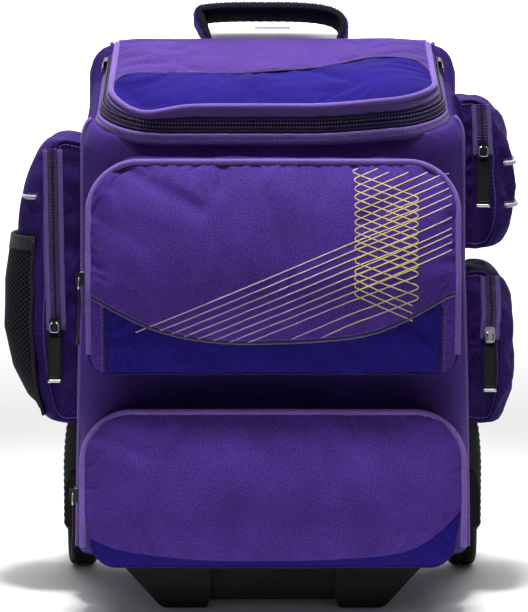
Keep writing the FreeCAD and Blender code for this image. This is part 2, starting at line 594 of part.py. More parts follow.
def write_parts():
    os.makedirs("parts", exist_ok=True)
    parts = build()
    whole = FreeCAD.BoundBox()
    for shape in parts.values():
        whole.add(shape.optimalBoundingBox(False))
    shift = V(-whole.Center.x, -whole.Center.y, 0)
    print(f"origin moved by {-shift.x:.2f} {-shift.y:.2f}, size {whole.XLength:.2f} {whole.YLength:.2f}"
          f" {whole.ZLength:.2f}, lowest point {whole.ZMin:.2f}")
    for name, shape in parts.items():
        moved = shape.copy()
        moved.translate(shift)
        moved.exportStep(f"parts/{name}.step")
        solids = moved.Solids
        volume = sum(solid.Volume for solid in solids) / 1000
        print(f"{name}: {len(solids)} solid(s), {volume:.1f} cm3, valid {moved.isValid()}")


write_parts()
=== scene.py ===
import bpy
import math
import numpy as np
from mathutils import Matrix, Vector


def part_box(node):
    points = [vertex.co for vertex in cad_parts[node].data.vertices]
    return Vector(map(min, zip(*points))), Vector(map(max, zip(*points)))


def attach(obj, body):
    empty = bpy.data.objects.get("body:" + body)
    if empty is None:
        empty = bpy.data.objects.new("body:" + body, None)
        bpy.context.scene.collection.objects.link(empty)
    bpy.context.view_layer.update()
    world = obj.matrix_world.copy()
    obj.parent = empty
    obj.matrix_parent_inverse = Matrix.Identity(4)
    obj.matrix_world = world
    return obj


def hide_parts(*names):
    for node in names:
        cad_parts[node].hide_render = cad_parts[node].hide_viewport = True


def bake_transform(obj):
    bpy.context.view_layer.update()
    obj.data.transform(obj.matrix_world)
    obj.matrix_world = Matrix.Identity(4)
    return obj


# Looks of the rolling bowling bag. Lengths are in millimetres about the bag body's own centre line until
# to_frame() turns them into metres in the CAD frame: X to the right, +Y to the back, +Z up.
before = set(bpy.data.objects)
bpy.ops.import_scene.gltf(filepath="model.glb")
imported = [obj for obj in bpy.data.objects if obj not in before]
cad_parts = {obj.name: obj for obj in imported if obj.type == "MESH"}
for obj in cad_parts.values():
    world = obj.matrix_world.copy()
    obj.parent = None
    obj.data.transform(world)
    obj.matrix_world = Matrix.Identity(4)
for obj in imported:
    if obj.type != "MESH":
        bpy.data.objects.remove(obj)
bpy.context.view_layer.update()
MM = 0.001
floor_low, floor_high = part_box("bottom_panel")
CENTRE = np.array([(floor_low[0] + floor_high[0]) / 2, (floor_low[1] + floor_high[1]) / 2, 0.0])


# ---- lines and surfaces -----------------------------------------------------------------------------------
def to_frame(points):
    """Metres in the CAD frame."""
    return points * MM + CENTRE


def smooth_step(x, low, high):
    """3t^2 - 2t^3, where t is how far x is from low to high, held between 0 and 1."""
    t = np.clip((x - low) / (high - low), 0, 1)
    return t * t * (3 - 2 * t)


def unit(vectors):
    """Each vector over its own length."""
    return vectors / np.maximum(np.linalg.norm(vectors, axis=-1, keepdims=True), 1e-9)


def resample(points, count, closed=False):
    """The same line with points evenly spaced: each coordinate is interpolated over the running length."""
    line = np.vstack([points, points[:1]]) if closed else np.asarray(points, float)
    run = np.concatenate([[0], np.cumsum(np.linalg.norm(np.diff(line, axis=0), axis=1))])
    places = np.linspace(0, run[-1], count, endpoint=not closed)
    return np.stack([np.interp(places, run, line[:, k]) for k in range(line.shape[1])], axis=1)


def soft_line(corners, count, closed=False):
    """Line through corners whose last number is how far from the corner its bend starts. A bend is the parabola
    (1-t)^2 A + 2t(1-t) C + t^2 B from A to B round the corner C."""
    bends, t, total = [], np.linspace(0, 1, 14)[:, None], len(corners)
    for i, corner in enumerate(corners):
        here, reach = np.array(corner[:-1], float), corner[-1]
        if reach <= 0 or (not closed and i in (0, total - 1)):
            bends.append(here[None])
            continue
        before = np.array(corners[i - 1][:-1], float) - here
        after = np.array(corners[(i + 1) % total][:-1], float) - here
        a = here + unit(before) * min(reach, np.linalg.norm(before) / 2)
        b = here + unit(after) * min(reach, np.linalg.norm(after) / 2)
        bends.append((1 - t) ** 2 * a + 2 * t * (1 - t) * here + t ** 2 * b)
    return resample(np.vstack(bends), count, closed)


def four_edged(low, high, left, right):
    """Surface between four edges: (1-v) low + v high + (1-u) left + u right, less the corners blended both ways."""
    u = np.linspace(0, 1, len(low))[:, None, None]
    v = np.linspace(0, 1, len(left))[None, :, None]
    across = (1 - v) * low[:, None] + v * high[:, None]
    along = (1 - u) * left[None] + u * right[None]
    corners = (1 - u) * (1 - v) * low[0] + u * (1 - v) * low[-1] + (1 - u) * v * high[0] + u * v * high[-1]
    return across + along - corners


def ripple(a, b, size, seed):
    """Gentle waviness, about -1 to 1: six sines of a and b in random directions, near one wavelength."""
    draw = np.random.default_rng(seed)
    total = 0
    for _ in range(6):
        turn, phase, share = draw.uniform(0, 2 * math.pi, 2).tolist() + [draw.uniform(0.7, 1.5)]
        total = total + np.sin((a * math.cos(turn) + b * math.sin(turn)) * 2 * math.pi / (size * share) + phase)
    return total / 3.2


def crease(a, b, start, end, width):
    """1 along the stretch from start to end, falling off as exp(-(distance / width)^2)."""
    (a0, b0), (a1, b1) = start, end
    length = (a1 - a0) ** 2 + (b1 - b0) ** 2
    t = np.clip(((a - a0) * (a1 - a0) + (b - b0) * (b1 - b0)) / length, 0, 1)
    away = np.hypot(a - a0 - t * (a1 - a0), b - b0 - t * (b1 - b0))
    return np.exp(-(away / width) ** 2)


def grid_normals(grid, inside=(0.0, 0.0, 260.0)):
    """Unit normals of a grid: the cross product of its two gradients, turned to point away from inside."""
    normals = unit(np.cross(np.gradient(grid, axis=0), np.gradient(grid, axis=1)))
    return normals if (normals * (grid - np.asarray(inside))).sum() > 0 else -normals


def finer(grid, times):
    """More rows and columns on a smooth curve (Catmull-Rom) through the ones there are."""
    for axis in (0, 1):
        lines = np.moveaxis(grid, axis, 0)
        count = len(lines)
        place = np.linspace(0, count - 1, (count - 1) * times + 1)
        start = np.minimum(place.astype(int), count - 2)
        t = (place - start)[:, None, None]
        p = [lines[np.clip(start + k, 0, count - 1)] for k in (-1, 0, 1, 2)]
        curve = (2 * p[1] + (p[2] - p[0]) * t + (2 * p[0] - 5 * p[1] + 4 * p[2] - p[3]) * t ** 2
                 + (3 * p[1] - p[0] - 3 * p[2] + p[3]) * t ** 3) / 2
        grid = np.moveaxis(curve, 0, axis)
    return grid


# ---- meshes -------------------------------------------------------------------------------------------------
def grid_faces(rows, cols, wrap_rows=False, wrap_cols=False):
    """Quads of a grid that is numbered row by row."""
    i, j = np.meshgrid(np.arange(rows if wrap_rows else rows - 1), np.arange(cols if wrap_cols else cols - 1),
                       indexing="ij")
    i2, j2 = (i + 1) % rows, (j + 1) % cols
    return np.stack([i * cols + j, i2 * cols + j, i2 * cols + j2, i * cols + j2], -1).reshape(-1, 4)


def grid_lengths(grid):
    """Running lengths along both ways of a grid, in metres, for a weave that follows the cloth."""
    down = np.concatenate([[0], np.cumsum(np.linalg.norm(np.diff(grid, axis=0), axis=2).mean(1))])
    over = np.concatenate([[0], np.cumsum(np.linalg.norm(np.diff(grid, axis=1), axis=2).mean(0))])
    u, v = np.meshgrid(down, over, indexing="ij")
    return np.stack([u, v], -1).reshape(-1, 2) * MM


def pad(grid, thick, inside=(0.0, 0.0, 260.0), inward=None):
    """Closed cloth panel: its face is the grid, its back is the grid moved in by thick along the normals or along
    inward, and a strip joins their rims. Returns points, faces, lengths for the weave, and 1 for each back face."""
    rows, cols = grid.shape[:2]
    count = rows * cols
    back = grid + thick * (-grid_normals(grid, inside) if inward is None else np.asarray(inward))
    index = np.arange(count).reshape(rows, cols)
    rim = np.concatenate([index[:-1, 0], index[-1, :-1], index[:0:-1, -1], index[0, :0:-1]])
    following = np.roll(rim, -1)
    face = grid_faces(rows, cols)
    strip = np.stack([following, rim, rim + count, following + count], -1)
    points = np.concatenate([grid.reshape(-1, 3), back.reshape(-1, 3)])
    lengths = np.tile(grid_lengths(grid), (2, 1))
    inner = np.concatenate([np.zeros(len(face)), np.ones(len(face)), np.zeros(len(strip))]).astype(int)
    return points, np.concatenate([face, face[:, ::-1] + count, strip]), lengths, inner


def loft(rings):
    """Closed solid through rings of points: quads between the rings, and a fan to a middle point at each end."""
    rows, cols = rings.shape[:2]
    points = np.concatenate([rings.reshape(-1, 3), rings[:1].mean(1), rings[-1:].mean(1)])
    faces = grid_faces(rows, cols, wrap_cols=True).tolist()
    j = np.arange(cols)
    first, last = rows * cols, rows * cols + 1
    faces += np.stack([np.full(cols, first), j, (j + 1) % cols], -1).tolist()
    end = (rows - 1) * cols
    faces += np.stack([np.full(cols, last), end + (j + 1) % cols, end + j], -1).tolist()
    lengths = np.concatenate([grid_lengths(rings), np.zeros((2, 2))])
    return points, faces, lengths


def along(path, closed=False, up=(0.0, 0.0, 1.0)):
    """Tangent, side and outward directions at each point of a path. Outward is up less its part along the tangent."""
    if closed:
        tangent = unit(np.roll(path, -1, 0) - np.roll(path, 1, 0))
    else:
        tangent = unit(np.gradient(path, axis=0))
    up = np.broadcast_to(np.asarray(up, float), path.shape)
    out = unit(up - (up * tangent).sum(1, keepdims=True) * tangent)
    return tangent, np.cross(out, tangent), out


def tube(path, radius, closed=False, sides=10, up=(0.0, 0.0, 1.0), flat=1.0):
    """Round cord along a path: point + radius (cos a * side + flat sin a * out). radius may change along it."""
    _, side, out = along(path, closed, up)
    turn = np.arange(sides) * 2 * math.pi / sides
    radius = np.broadcast_to(radius, len(path))[:, None, None]
    ring = np.cos(turn)[None, :, None] * side[:, None] + flat * np.sin(turn)[None, :, None] * out[:, None]
    rings = path[:, None] + radius * ring
    if closed:
        return (rings.reshape(-1, 3), grid_faces(len(path), sides, True, True), grid_lengths(rings))
    return loft(rings)


def scatter(shape, faces, origins, tangents, sides, outs):
    """One small shape at each origin: origin + x * tangent + y * side + z * out for each of its points."""
    shape = np.asarray(shape, float)
    points = (origins[:, None] + shape[None, :, :1] * tangents[:, None] + shape[None, :, 1:2] * sides[:, None]
              + shape[None, :, 2:] * outs[:, None])
    offsets = np.arange(len(origins)) * len(shape)
    return points.reshape(-1, 3), [[k + start for k in face] for start in offsets for face in faces]


def bead(length, width, height):
    """Small cushion-shaped bar on a base: a box whose top is drawn in. Points and faces."""
    a, b, c = length / 2, width / 2, height
    low = [(-a, -b, 0), (a, -b, 0), (a, b, 0), (-a, b, 0)]
    middle = [(x, y, c * 0.6) for x, y, _ in low]
    top = [(x * 0.6, y * 0.6, c) for x, y, _ in low]
    faces = [(3, 2, 1, 0), (8, 9, 10, 11)]
    for level in (0, 4):
        faces += [(level + i, level + (i + 1) % 4, level + 4 + (i + 1) % 4, level + 4 + i) for i in range(4)]
    return low + middle + top, faces


def signed_volume(points, faces):
    """Sum of the tetrahedra from the middle to each face: negative where the faces look inwards."""
    middle = points.mean(0)
    total = 0.0
    for size in (3, 4):
        corners = np.array([f for f in faces if len(f) == size])
        if len(corners):
            p = points[corners] - middle
            for k in range(1, size - 1):
                total += np.einsum("ij,ij->i", p[:, 0], np.cross(p[:, k], p[:, k + 1])).sum()
    return total


def piece(name, form, finishes, body, replaces=(), bend=None, which=None, round_off=0, smooth=True):
    """Makes one piece from (points, faces, lengths) and puts it on its body; a piece given bend is left in the CAD
    frame on no body. finishes is a material or a list.
    """
    points, faces = form[0], [tuple(int(k) for k in face) for face in form[1]]
    if signed_volume(points, faces) < 0:
        faces = [face[::-1] for face in faces]
    data = bpy.data.meshes.new(name)
    data.from_pydata(to_frame(points).tolist(), [], faces)
    if len(form) > 2 and form[2] is not None:
        layer = data.uv_layers.new(name="cloth")
        corner = np.empty(len(data.loops), np.int32)
        data.loops.foreach_get("vertex_index", corner)
        layer.data.foreach_set("uv", np.asarray(form[2])[corner].astype(np.float32).ravel())
    data.polygons.foreach_set("use_smooth", np.full(len(data.polygons), smooth))
    for finish in finishes if isinstance(finishes, (list, tuple)) else [finishes]:
        data.materials.append(finish)
    if which is not None:
        data.polygons.foreach_set("material_index", np.asarray(which, np.int32))
    data.update()
    obj = bpy.data.objects.new(name, data)
    bpy.context.scene.collection.objects.link(obj)
    if round_off:
        soft = obj.modifiers.new("soft", "SUBSURF")
        soft.levels = soft.render_levels = round_off
    if bend:
        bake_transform(obj)
    else:
        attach(obj, body)
    if replaces:
        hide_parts(*replaces)
    return obj


def join(*forms):
    """Several (points, faces, lengths) as one."""
    points, faces, lengths, start = [], [], [], 0
    for form in forms:
        points.append(form[0])
        faces += [[k + start for k in face] for face in form[1]]
        given = form[2] if len(form) > 2 and form[2] is not None else np.zeros((len(form[0]), 2))
        lengths.append(given)
        start += len(form[0])
    return np.concatenate(points), faces, np.concatenate(lengths)


def puffed(points, faces, pinned, pressure=4.0, slack=0.03, cap=7.0, stiff=12.0):
    """Blows cloth out from its pinned seams: Blender's cloth under inner pressure with no gravity, from a piece cut
    larger by slack. Each point moves cap at most."""
    data = bpy.data.meshes.new("sewing")
    data.from_pydata(to_frame(points).tolist(), [], [tuple(int(k) for k in face) for face in faces])
    obj = bpy.data.objects.new("sewing", data)
    scene = bpy.context.scene
    scene.collection.objects.link(obj)
    obj.vertex_groups.new(name="seams").add(np.flatnonzero(pinned).tolist(), 1.0, "REPLACE")
    cloth = obj.modifiers.new("cloth", "CLOTH")
    settings = cloth.settings
    settings.quality = 5
    settings.mass = 0.25
    settings.tension_stiffness = settings.compression_stiffness = stiff
    settings.shear_stiffness = stiff / 3
    settings.bending_stiffness = 0.6
    settings.air_damping = 2.0
    settings.vertex_group_mass = "seams"
    settings.use_pressure = True
    settings.uniform_pressure_force = pressure
    settings.shrink_min = -slack
    settings.effector_weights.gravity = 0.0
    cloth.point_cache.frame_start, cloth.point_cache.frame_end = 1, 20
    for step in range(1, 21):
        scene.frame_set(step)
    shown = obj.evaluated_get(bpy.context.evaluated_depsgraph_get())
    found = np.empty(len(points) * 3)
    shown.data.vertices.foreach_get("co", found)
    moved = (found.reshape(-1, 3) - CENTRE) / MM - points
    far = np.linalg.norm(moved, axis=1, keepdims=True)
    bpy.data.objects.remove(obj)
    scene.frame_set(1)
    return points + moved * (cap * np.tanh(far / cap) / np.maximum(far, 1e-6))


# ---- shader maths -------------------------------------------------------------------------------------------
class Value:
    """A number that varies over a surface, with arithmetic that adds Math nodes."""

    def __init__(self, finish, socket):
        self.finish, self.socket = finish, socket

    def math(self, operation, *values):
        return self.finish.node("ShaderNodeMath", {"operation": operation}, [self, *values])

    def __add__(self, other):
        return self.math("ADD", other)

    def __mul__(self, other):
        return self.math("MULTIPLY", other)

    def __sub__(self, other):
        return self.math("SUBTRACT", other)

    def __rsub__(self, other):
        return self.finish.node("ShaderNodeMath", {"operation": "SUBTRACT"}, [other, self])

    def __truediv__(self, other):
        return self.math("DIVIDE", other)

    def __pow__(self, other):
        return self.math("POWER", other)

    __radd__, __rmul__ = __add__, __mul__


def linear(red, green, blue):
    """Linear colour from 0 to 255 screen values."""
    return tuple(((c / 255 + 0.055) / 1.055) ** 2.4 if c > 10 else c / 255 / 12.92
                 for c in (red, green, blue)) + (1.0,)


class Finish:
    """One material: a Principled shader and the nodes that vary it."""

    def __init__(self, name, **constants):
        self.material = bpy.data.materials.new(name)
        self.material.use_nodes = True
        self.tree = self.material.node_tree
        self.tree.nodes.clear()
        self.output = self.tree.nodes.new("ShaderNodeOutputMaterial")
        self.shader = self.tree.nodes.new("ShaderNodeBsdfPrincipled")
        self.tree.links.new(self.shader.outputs["BSDF"], self.output.inputs["Surface"])
        self.set(**constants)

    def set(self, **values):
        """Sets or links the shader's sockets. Base_Color stands for Base Color."""
        for name, value in values.items():
            self.put(self.shader.inputs[name.replace("_", " ")], value)

    def put(self, socket, value):
        """Links a varying value into a socket, or writes a plain one."""
        if isinstance(value, Value):
            self.tree.links.new(value.socket, socket)
        elif value is not None:
            socket.default_value = value

    def node(self, kind, settings=None, values=(), output=0):
        """Adds a node: its settings first, then its sockets by position or by name. Returns one output."""
        made = self.tree.nodes.new(kind)
        for name, value in (settings or {}).items():
            if name == "stops":
                ramp = made.color_ramp
                for place, colour in value:
                    stop = ramp.elements.new(place)
                    stop.color = colour
                ramp.elements.remove(ramp.elements[0])
                ramp.elements.remove(ramp.elements[-1])
            else:
                setattr(made, name, value)
        pairs = values.items() if isinstance(values, dict) else enumerate(values)
        for name, value in pairs:
            self.put(made.inputs[name], value)
        return Value(self, made.outputs[output])

    def place(self, surface=True):
        """Position to draw a pattern by: along the cloth in metres, or in the object's own space."""
        if surface:
            return self.node("ShaderNodeUVMap", {"uv_map": "cloth"})
        return self.node("ShaderNodeTexCoord", output="Object")

    def noise(self, at, scale, detail=2.0, rough=0.5):
        return self.node("ShaderNodeTexNoise", {"noise_dimensions": "3D"},
                         {"Vector": at, "Scale": scale, "Detail": detail, "Roughness": rough})

    def parts(self, at):
        """The x, y and z of a vector."""
        split = self.tree.nodes.new("ShaderNodeSeparateXYZ")
        self.put(split.inputs[0], at)
        return [Value(self, socket) for socket in split.outputs]

    def wave(self, value, pitch):
        """0 to 1 and back over each pitch."""
        return (value * (2 * math.pi / pitch)).math("SINE") * 0.5 + 0.5

    def mix(self, share, first, second):
        """Colour between first and second."""
        return self.node("ShaderNodeMix", {"data_type": "RGBA"}, {0: share, 6: first, 7: second}, output=2)

    def spread(self, value, low, high):
        """Stretches a value from low..high to 0..1, held at the ends."""
        return self.node("ShaderNodeMapRange", {"clamp": True}, {0: value, 1: low, 2: high})

    def bump(self, height, distance, strength=1.0):
        return self.node("ShaderNodeBump", None, {"Height": height, "Distance": distance, "Strength": strength})


def cloth(name, dark, mid, light, pitch=0.0011, depth=0.00025, sheen=0.2, rough=0.7, shine=0.06):
    """Woven polyester: crossing threads, each a little lighter or darker than the next, over broad soft patches."""
    f = Finish(name, Sheen_Weight=sheen, Sheen_Roughness=0.45, Specular_IOR_Level=shine)
    f.set(Sheen_Tint=tuple(min(1.0, c * 3.0 + 0.08) for c in light[:3]) + (1.0,))
    at = f.place()
    u, v, _ = f.parts(at)
    warp, weft = f.wave(u, pitch), f.wave(v, pitch)
    weave = warp * weft + (1 - warp) * (1 - weft)
    thread = f.noise(at, 620, 1.0) * 0.62 + f.noise(at, 1900, 0.0) * 0.38
    patch = f.noise(f.place(False), 26, 3.0)
    tone = f.spread(thread, 0.34, 0.66) * 0.66 + f.spread(patch, 0.3, 0.7) * 0.2 + weave * 0.16
    colour = f.node("ShaderNodeValToRGB", {"stops": [(0.12, dark), (0.5, mid), (0.9, light)]}, [tone])
    f.set(Base_Color=colour, Roughness=f.spread(patch, 0.2, 0.8) * 0.12 + (rough - 0.06))
    f.set(Normal=f.bump(weave * 0.6 + thread * 0.9, depth, 0.7))
    return f.material


def shades(red, green, blue, spread=0.22):
    """A darker, the middle and a lighter tone of one screen colour."""
    tones = [1 - spread, 1.0, 1 + spread]
    return [linear(*(min(255, c * t) for c in (red, green, blue))) for t in tones]


def plastic(name, colour, rough, grain, depth, worn=None):
    """Moulded plastic: fine grain in the mould, with slightly shinier and duller patches."""
    f = Finish(name, Specular_IOR_Level=0.25)
    at = f.place(False)
    fine, broad = f.noise(at, grain, 3.0), f.noise(at, 14, 2.0)
    lighter = worn or tuple(min(1.0, c * 1.5 + 0.003) for c in colour[:3]) + (1.0,)
    f.set(Base_Color=f.mix(f.spread(broad, 0.35, 0.75) * 0.5, colour, lighter))
    f.set(Roughness=f.spread(broad, 0.25, 0.75) * 0.16 + rough, Normal=f.bump(fine, depth, 0.5))
    return f.material


def metal(name, colour, rough, streak=(1.0, 1.0, 60.0)):
    """Drawn or plated metal: fine streaks one way in its roughness and tone."""
    f = Finish(name, Metallic=1.0)
    at = f.node("ShaderNodeMapping", None, {"Vector": f.place(False), "Scale": tuple(60 * s for s in streak)})
    streaks = f.noise(at, 8, 4.0, 0.6)
    f.set(Base_Color=f.mix(streaks, tuple(c * 0.8 for c in colour[:3]) + (1.0,), colour))
    f.set(Roughness=streaks * 0.2 + rough, Normal=f.bump(streaks, 0.00008, 0.4))
    return f.material


def ribbed(name, dark, light, pitch, rough=0.7):
    """Narrow woven tape: ribs across it, with a herringbone of short diagonals."""
    f = Finish(name, Sheen_Weight=0.1, Sheen_Roughness=0.5, Specular_IOR_Level=0.12)
    at = f.place()
    u, v, _ = f.parts(at)
    ribs = f.wave(u + (v * (2 * math.pi / (pitch * 6))).math("SINE") * pitch, pitch)
    grain = f.noise(at, 1500, 1.0)
    f.set(Base_Color=f.mix(ribs * 0.6 + grain * 0.4, dark, light), Roughness=grain * 0.15 + rough)
    f.set(Normal=f.bump(ribs + grain * 0.4, 0.0003, 0.7))
    return f.material


def net_cloth(name, see=0.08, cell=(0.0062, 0.0044)):
    """Knitted net: staggered lens-shaped holes between dark cords."""
    f = Finish(name, Roughness=0.75, Specular_IOR_Level=0.08)
    at = f.place()
    u, v, _ = f.parts(at)
    one = (v / cell[0] * math.pi + u / cell[1] * math.pi).math("SINE")
    two = (v / cell[0] * math.pi - u / cell[1] * math.pi).math("SINE")
    hole = f.spread((one * two).math("ABSOLUTE"), 0.2, 0.5)
    yarn = f.noise(at, 1400, 1.0)
    cords = f.mix(yarn, linear(17, 13, 22), linear(44, 37, 52))
    # The holes are painted near-black and nearly opaque: painted shade of the dark inside seen through them.
    f.set(Base_Color=f.mix(hole * 0.85, cords, linear(6, 5, 9)))
    f.set(Alpha=1 - hole * see, Normal=f.bump(yarn * 0.3 - hole, 0.0008, 0.9))
    return f.material


def strand_ink(name, gold, lilac):
    """Printed ink: gold in the column where the strands cross, turning lilac to both sides of it."""
    f = Finish(name, Specular_IOR_Level=0.4, Roughness=0.45)
    x = f.parts(f.place(False))[0] - float(CENTRE[0])
    far = (x - 0.095).math("ABSOLUTE")
    grain = f.noise(f.place(False), 1500, 2.0)
    f.set(Base_Color=f.mix(f.spread(far + (grain - 0.5) * 0.006, 0.026, 0.05), gold, lilac))
    f.set(Normal=f.bump(grain, 0.00005, 0.4))
    return f.material


PURPLE = cloth("purple_cloth", *shades(66, 43, 121, 0.26), sheen=0.22)
# Lid and back strip cloth: the purple painted a little lighter and greyer, a painted highlight for the glare on the
# top.
PURPLE_TOP_PAINTED_LIGHT = cloth("purple_lid_cloth_painted_highlight", *shades(70, 48, 118, 0.2), sheen=0.22, shine=0.02)
BLUE = cloth("blue_cloth", *shades(34, 25, 104, 0.26), sheen=0.04, shine=0.01)
# Front wall cloth: the purple painted about a fifth darker, a painted shade for the wall under the lid and beside the
# pockets.
WALL_PAINTED_SHADE = cloth("wall_cloth_painted_shade", *shades(56, 37, 104, 0.26), sheen=0.16)
# Side cloth: the purple painted about half as dark as the front, a painted shade for the sides, back, floor, gussets
# and side pockets.
SHADE = cloth("side_cloth_painted_shade", *shades(44, 28, 86, 0.3), sheen=0.06, shine=0.02)
# Piping cloth: lighter and greyer than the purple, partly the cord's own lighter tone and partly a painted highlight
# from the light above.
PIPING = cloth("piping_cloth_part_painted_highlight", *shades(106, 84, 154, 0.16), pitch=0.0009, sheen=0.35)
LINING = cloth("grey_lining", *shades(58, 56, 66), pitch=0.0007, depth=0.0001, sheen=0.1, rough=0.5)
TAPE = ribbed("zip_tape", linear(24, 17, 44), linear(52, 40, 84), 0.0012)
BINDING = ribbed("purple_binding", linear(78, 58, 120), linear(116, 92, 162), 0.0014)
WEBBING = ribbed("black_webbing", linear(13, 12, 16), linear(38, 36, 42), 0.0018)
NET = net_cloth("black_net")
THREAD = plastic("purple_thread", linear(92, 72, 140), 0.6, 2000, 0.0001)
DARK_THREAD = plastic("dark_thread", linear(24, 17, 50), 0.6, 2000, 0.0001)
TEETH = plastic("zip_coil", linear(50, 42, 74), 0.36, 900, 0.0001, linear(84, 74, 112))
PRINT = strand_ink("printed_strands", linear(196, 176, 116), linear(186, 160, 178))
SILVER_CORD = plastic("silver_cord", linear(92, 90, 102), 0.4, 1200, 0.0002, linear(44, 40, 56))
REFLECT = plastic("reflective_cord", linear(150, 146, 160), 0.35, 1500, 0.0001, linear(180, 178, 188))
BLACK = plastic("black_moulding", linear(8, 8, 10), 0.5, 700, 0.00012, linear(17, 17, 19))
RUBBER = plastic("tyre_rubber", linear(22, 22, 24), 0.62, 500, 0.0002, linear(44, 43, 42))
HUB = plastic("hub_nylon", linear(58, 58, 62), 0.45, 500, 0.0001)
GRIP = plastic("grey_grip", linear(226, 226, 228), 0.3, 900, 0.00004, linear(238, 238, 238))
BUTTON = plastic("grip_button", linear(205, 205, 208), 0.35, 900, 0.00005)
BOARD = plastic("lining_board", linear(40, 39, 46), 0.55, 300, 0.0001)
TUBES = metal("satin_aluminium", linear(190, 191, 196), 0.3, (60.0, 60.0, 1.0))
STEEL = metal("zinc_steel", linear(168, 168, 172), 0.28)
BRONZE = metal("bronze_bush", linear(170, 132, 78), 0.35)
ENAMEL = metal("slider_enamel", linear(60, 58, 66), 0.25)
BRIGHT = metal("bright_ring", linear(200, 200, 206), 0.2)
TAG = plastic("black_tag", linear(20, 19, 23), 0.5, 800, 0.00012)
FOAM = cloth("cradle_cover", *shades(52, 50, 58), pitch=0.0016, depth=0.0004, sheen=0.15, rough=0.75)

# ---- the body's wall ------------------------------------------------------------------------------------
BASE_Z, FRONT, BACK = 44.0, -115.0, 115.0
MIDDLE_HALF, FRONT_CORNER, BACK_CORNER = 168.0, 45.0, 20.0
LID_BACK, ZIP_BACK = 66.0, 58.0
SHOULDER, DRAWN_IN = 22.0, 0.072  # height of the wall's rounded shoulder, and the share it is drawn in by there
BACK_ARC, FRONT_ARC = BACK_CORNER * math.pi / 2, FRONT_CORNER * math.pi / 2
SIDE_START = MIDDLE_HALF - BACK_CORNER + BACK_ARC  # running length from the back's middle to the straight side
FRONT_START = SIDE_START + (BACK - BACK_CORNER) - (FRONT + FRONT_CORNER)
HALF_ROUND = FRONT_START + FRONT_ARC + MIDDLE_HALF - FRONT_CORNER
FULL_ROUND = 2 * HALF_ROUND


def half_width(z):
    """Half width of the body at a height, straight between its three sections."""
    return np.interp(z, [BASE_Z, 200, 300, 500], [170, 167, 164, 163])


def zip_z(y):
    """Height of the lid's zip, a straight slope up to the back."""
    return 418 + 55 * (y - FRONT) / (LID_BACK - FRONT)


def strip_z(y):
    """Height of the strip behind the lid, a straight slope down to the back."""
    return 482.5 - 15 * (y - LID_BACK) / (BACK - LID_BACK)


def side_run(y):
    """Running length round the plan, from the middle of the back by the left, to the point of the left side at y."""
    return SIDE_START + (BACK - BACK_CORNER) - y


def plan(run):
    """Rounded rectangle round the body: straight back, arc, straight side, arc, straight front, mirrored on the
    right. Gives x and y of the plan, how far it has turned, and the side."""
    run = np.mod(run, FULL_ROUND)
    right = run > HALF_ROUND
    r = np.where(right, FULL_ROUND - run, run)
    back_turn = np.clip((r - (MIDDLE_HALF - BACK_CORNER)) / BACK_CORNER, 0, math.pi / 2)
    front_turn = np.clip((r - FRONT_START) / FRONT_CORNER, 0, math.pi / 2)
    on_back = np.minimum(r, MIDDLE_HALF - BACK_CORNER)
    on_side = np.clip(r - SIDE_START, 0, FRONT_START - SIDE_START)
    on_front = np.maximum(r - FRONT_START - FRONT_ARC, 0)
    x = on_back + BACK_CORNER * np.sin(back_turn) - FRONT_CORNER * (1 - np.cos(front_turn)) - on_front
    y = (BACK - BACK_CORNER * (1 - np.cos(back_turn)) - on_side - FRONT_CORNER * np.sin(front_turn))
    return x, y, back_turn + front_turn, np.where(right, 1.0, -1.0)


def drawn(run, z, out, inward):
    """Point on the plan pushed out by out and with its x drawn in by a share."""
    x, y, turn, side = plan(run)
    spare = (half_width(z) - MIDDLE_HALF) * np.clip(x / (MIDDLE_HALF - FRONT_CORNER), 0, 1)
    across = side * ((x + spare) * (1 - inward) + out * np.sin(turn))
    return np.stack([across, y + out * np.cos(turn), z + 0 * x], -1)


def wall(run, z, out=0.0):
    """Point of the body's wall at a running length round its plan and a height, pushed out by out. The wall's top
    rounds in over the shoulder as a quarter circle does."""
    run, z, out = np.broadcast_arrays(np.asarray(run, float), z, out)
    climb = np.clip((z - wall_top(run) + SHOULDER) / SHOULDER, 0, 1)
    inward = DRAWN_IN + 0.07 * smooth_step(plan(run)[1], 40, 58)
    return drawn(run, z, out, inward * (1 - np.sqrt(np.maximum(0, 1 - (climb * 0.98) ** 2))))


def skew(x, y):
    """How much higher the lid's zip runs near the front corners, more on the right, where the top has settled."""
    ahead = 1 - smooth_step(y, -110.0, 20.0)
    return ahead * (7.6 * smooth_step(x, 30, 152) + 5.0 * smooth_step(-x, 88, 150))


def wall_top(run):
    """Height of the wall's top: under the lid zip, and at the strip's height behind."""
    x, y, _, side = plan(run)
    front = zip_z(y) - 14 + skew(side * x, y)
    behind = strip_z(np.maximum(y, LID_BACK))
    return front + (behind - front) * smooth_step(y, 38, LID_BACK)


def wall_panel(name, start, end, columns, rows, seed, finish, node):
    """One sewn wall panel with its lining. It bellies out a little and wavers near its seams."""
    run = np.linspace(start, end, columns)[:, None]
    share = np.linspace(0, 1, rows)[None, :]
    z = BASE_Z + 1 + (wall_top(run) - BASE_Z - 1) * share
    edge = np.minimum.reduce([run - start + 0 * z, end - run + 0 * z, z - BASE_Z + 0 * run, wall_top(run) - z])
    away = 1 - np.exp(-edge / 14)
    out = 0.6 * away + away * 1.1 * ripple(run, z, 75, seed)
    out = out + 0.5 * np.exp(-edge / 9) * ripple(run, z, 17, seed + 1)
    hem = np.exp(-((z - BASE_Z) / 3) ** 2) * 1.6
    form = pad(wall(run, z, out - hem), 3.4)
    return piece(name, form[:3], [finish, LINING], "bag", [node], which=form[3])


FRONT_SEAM, BACK_SEAM = side_run(-65.0), side_run(90.0)
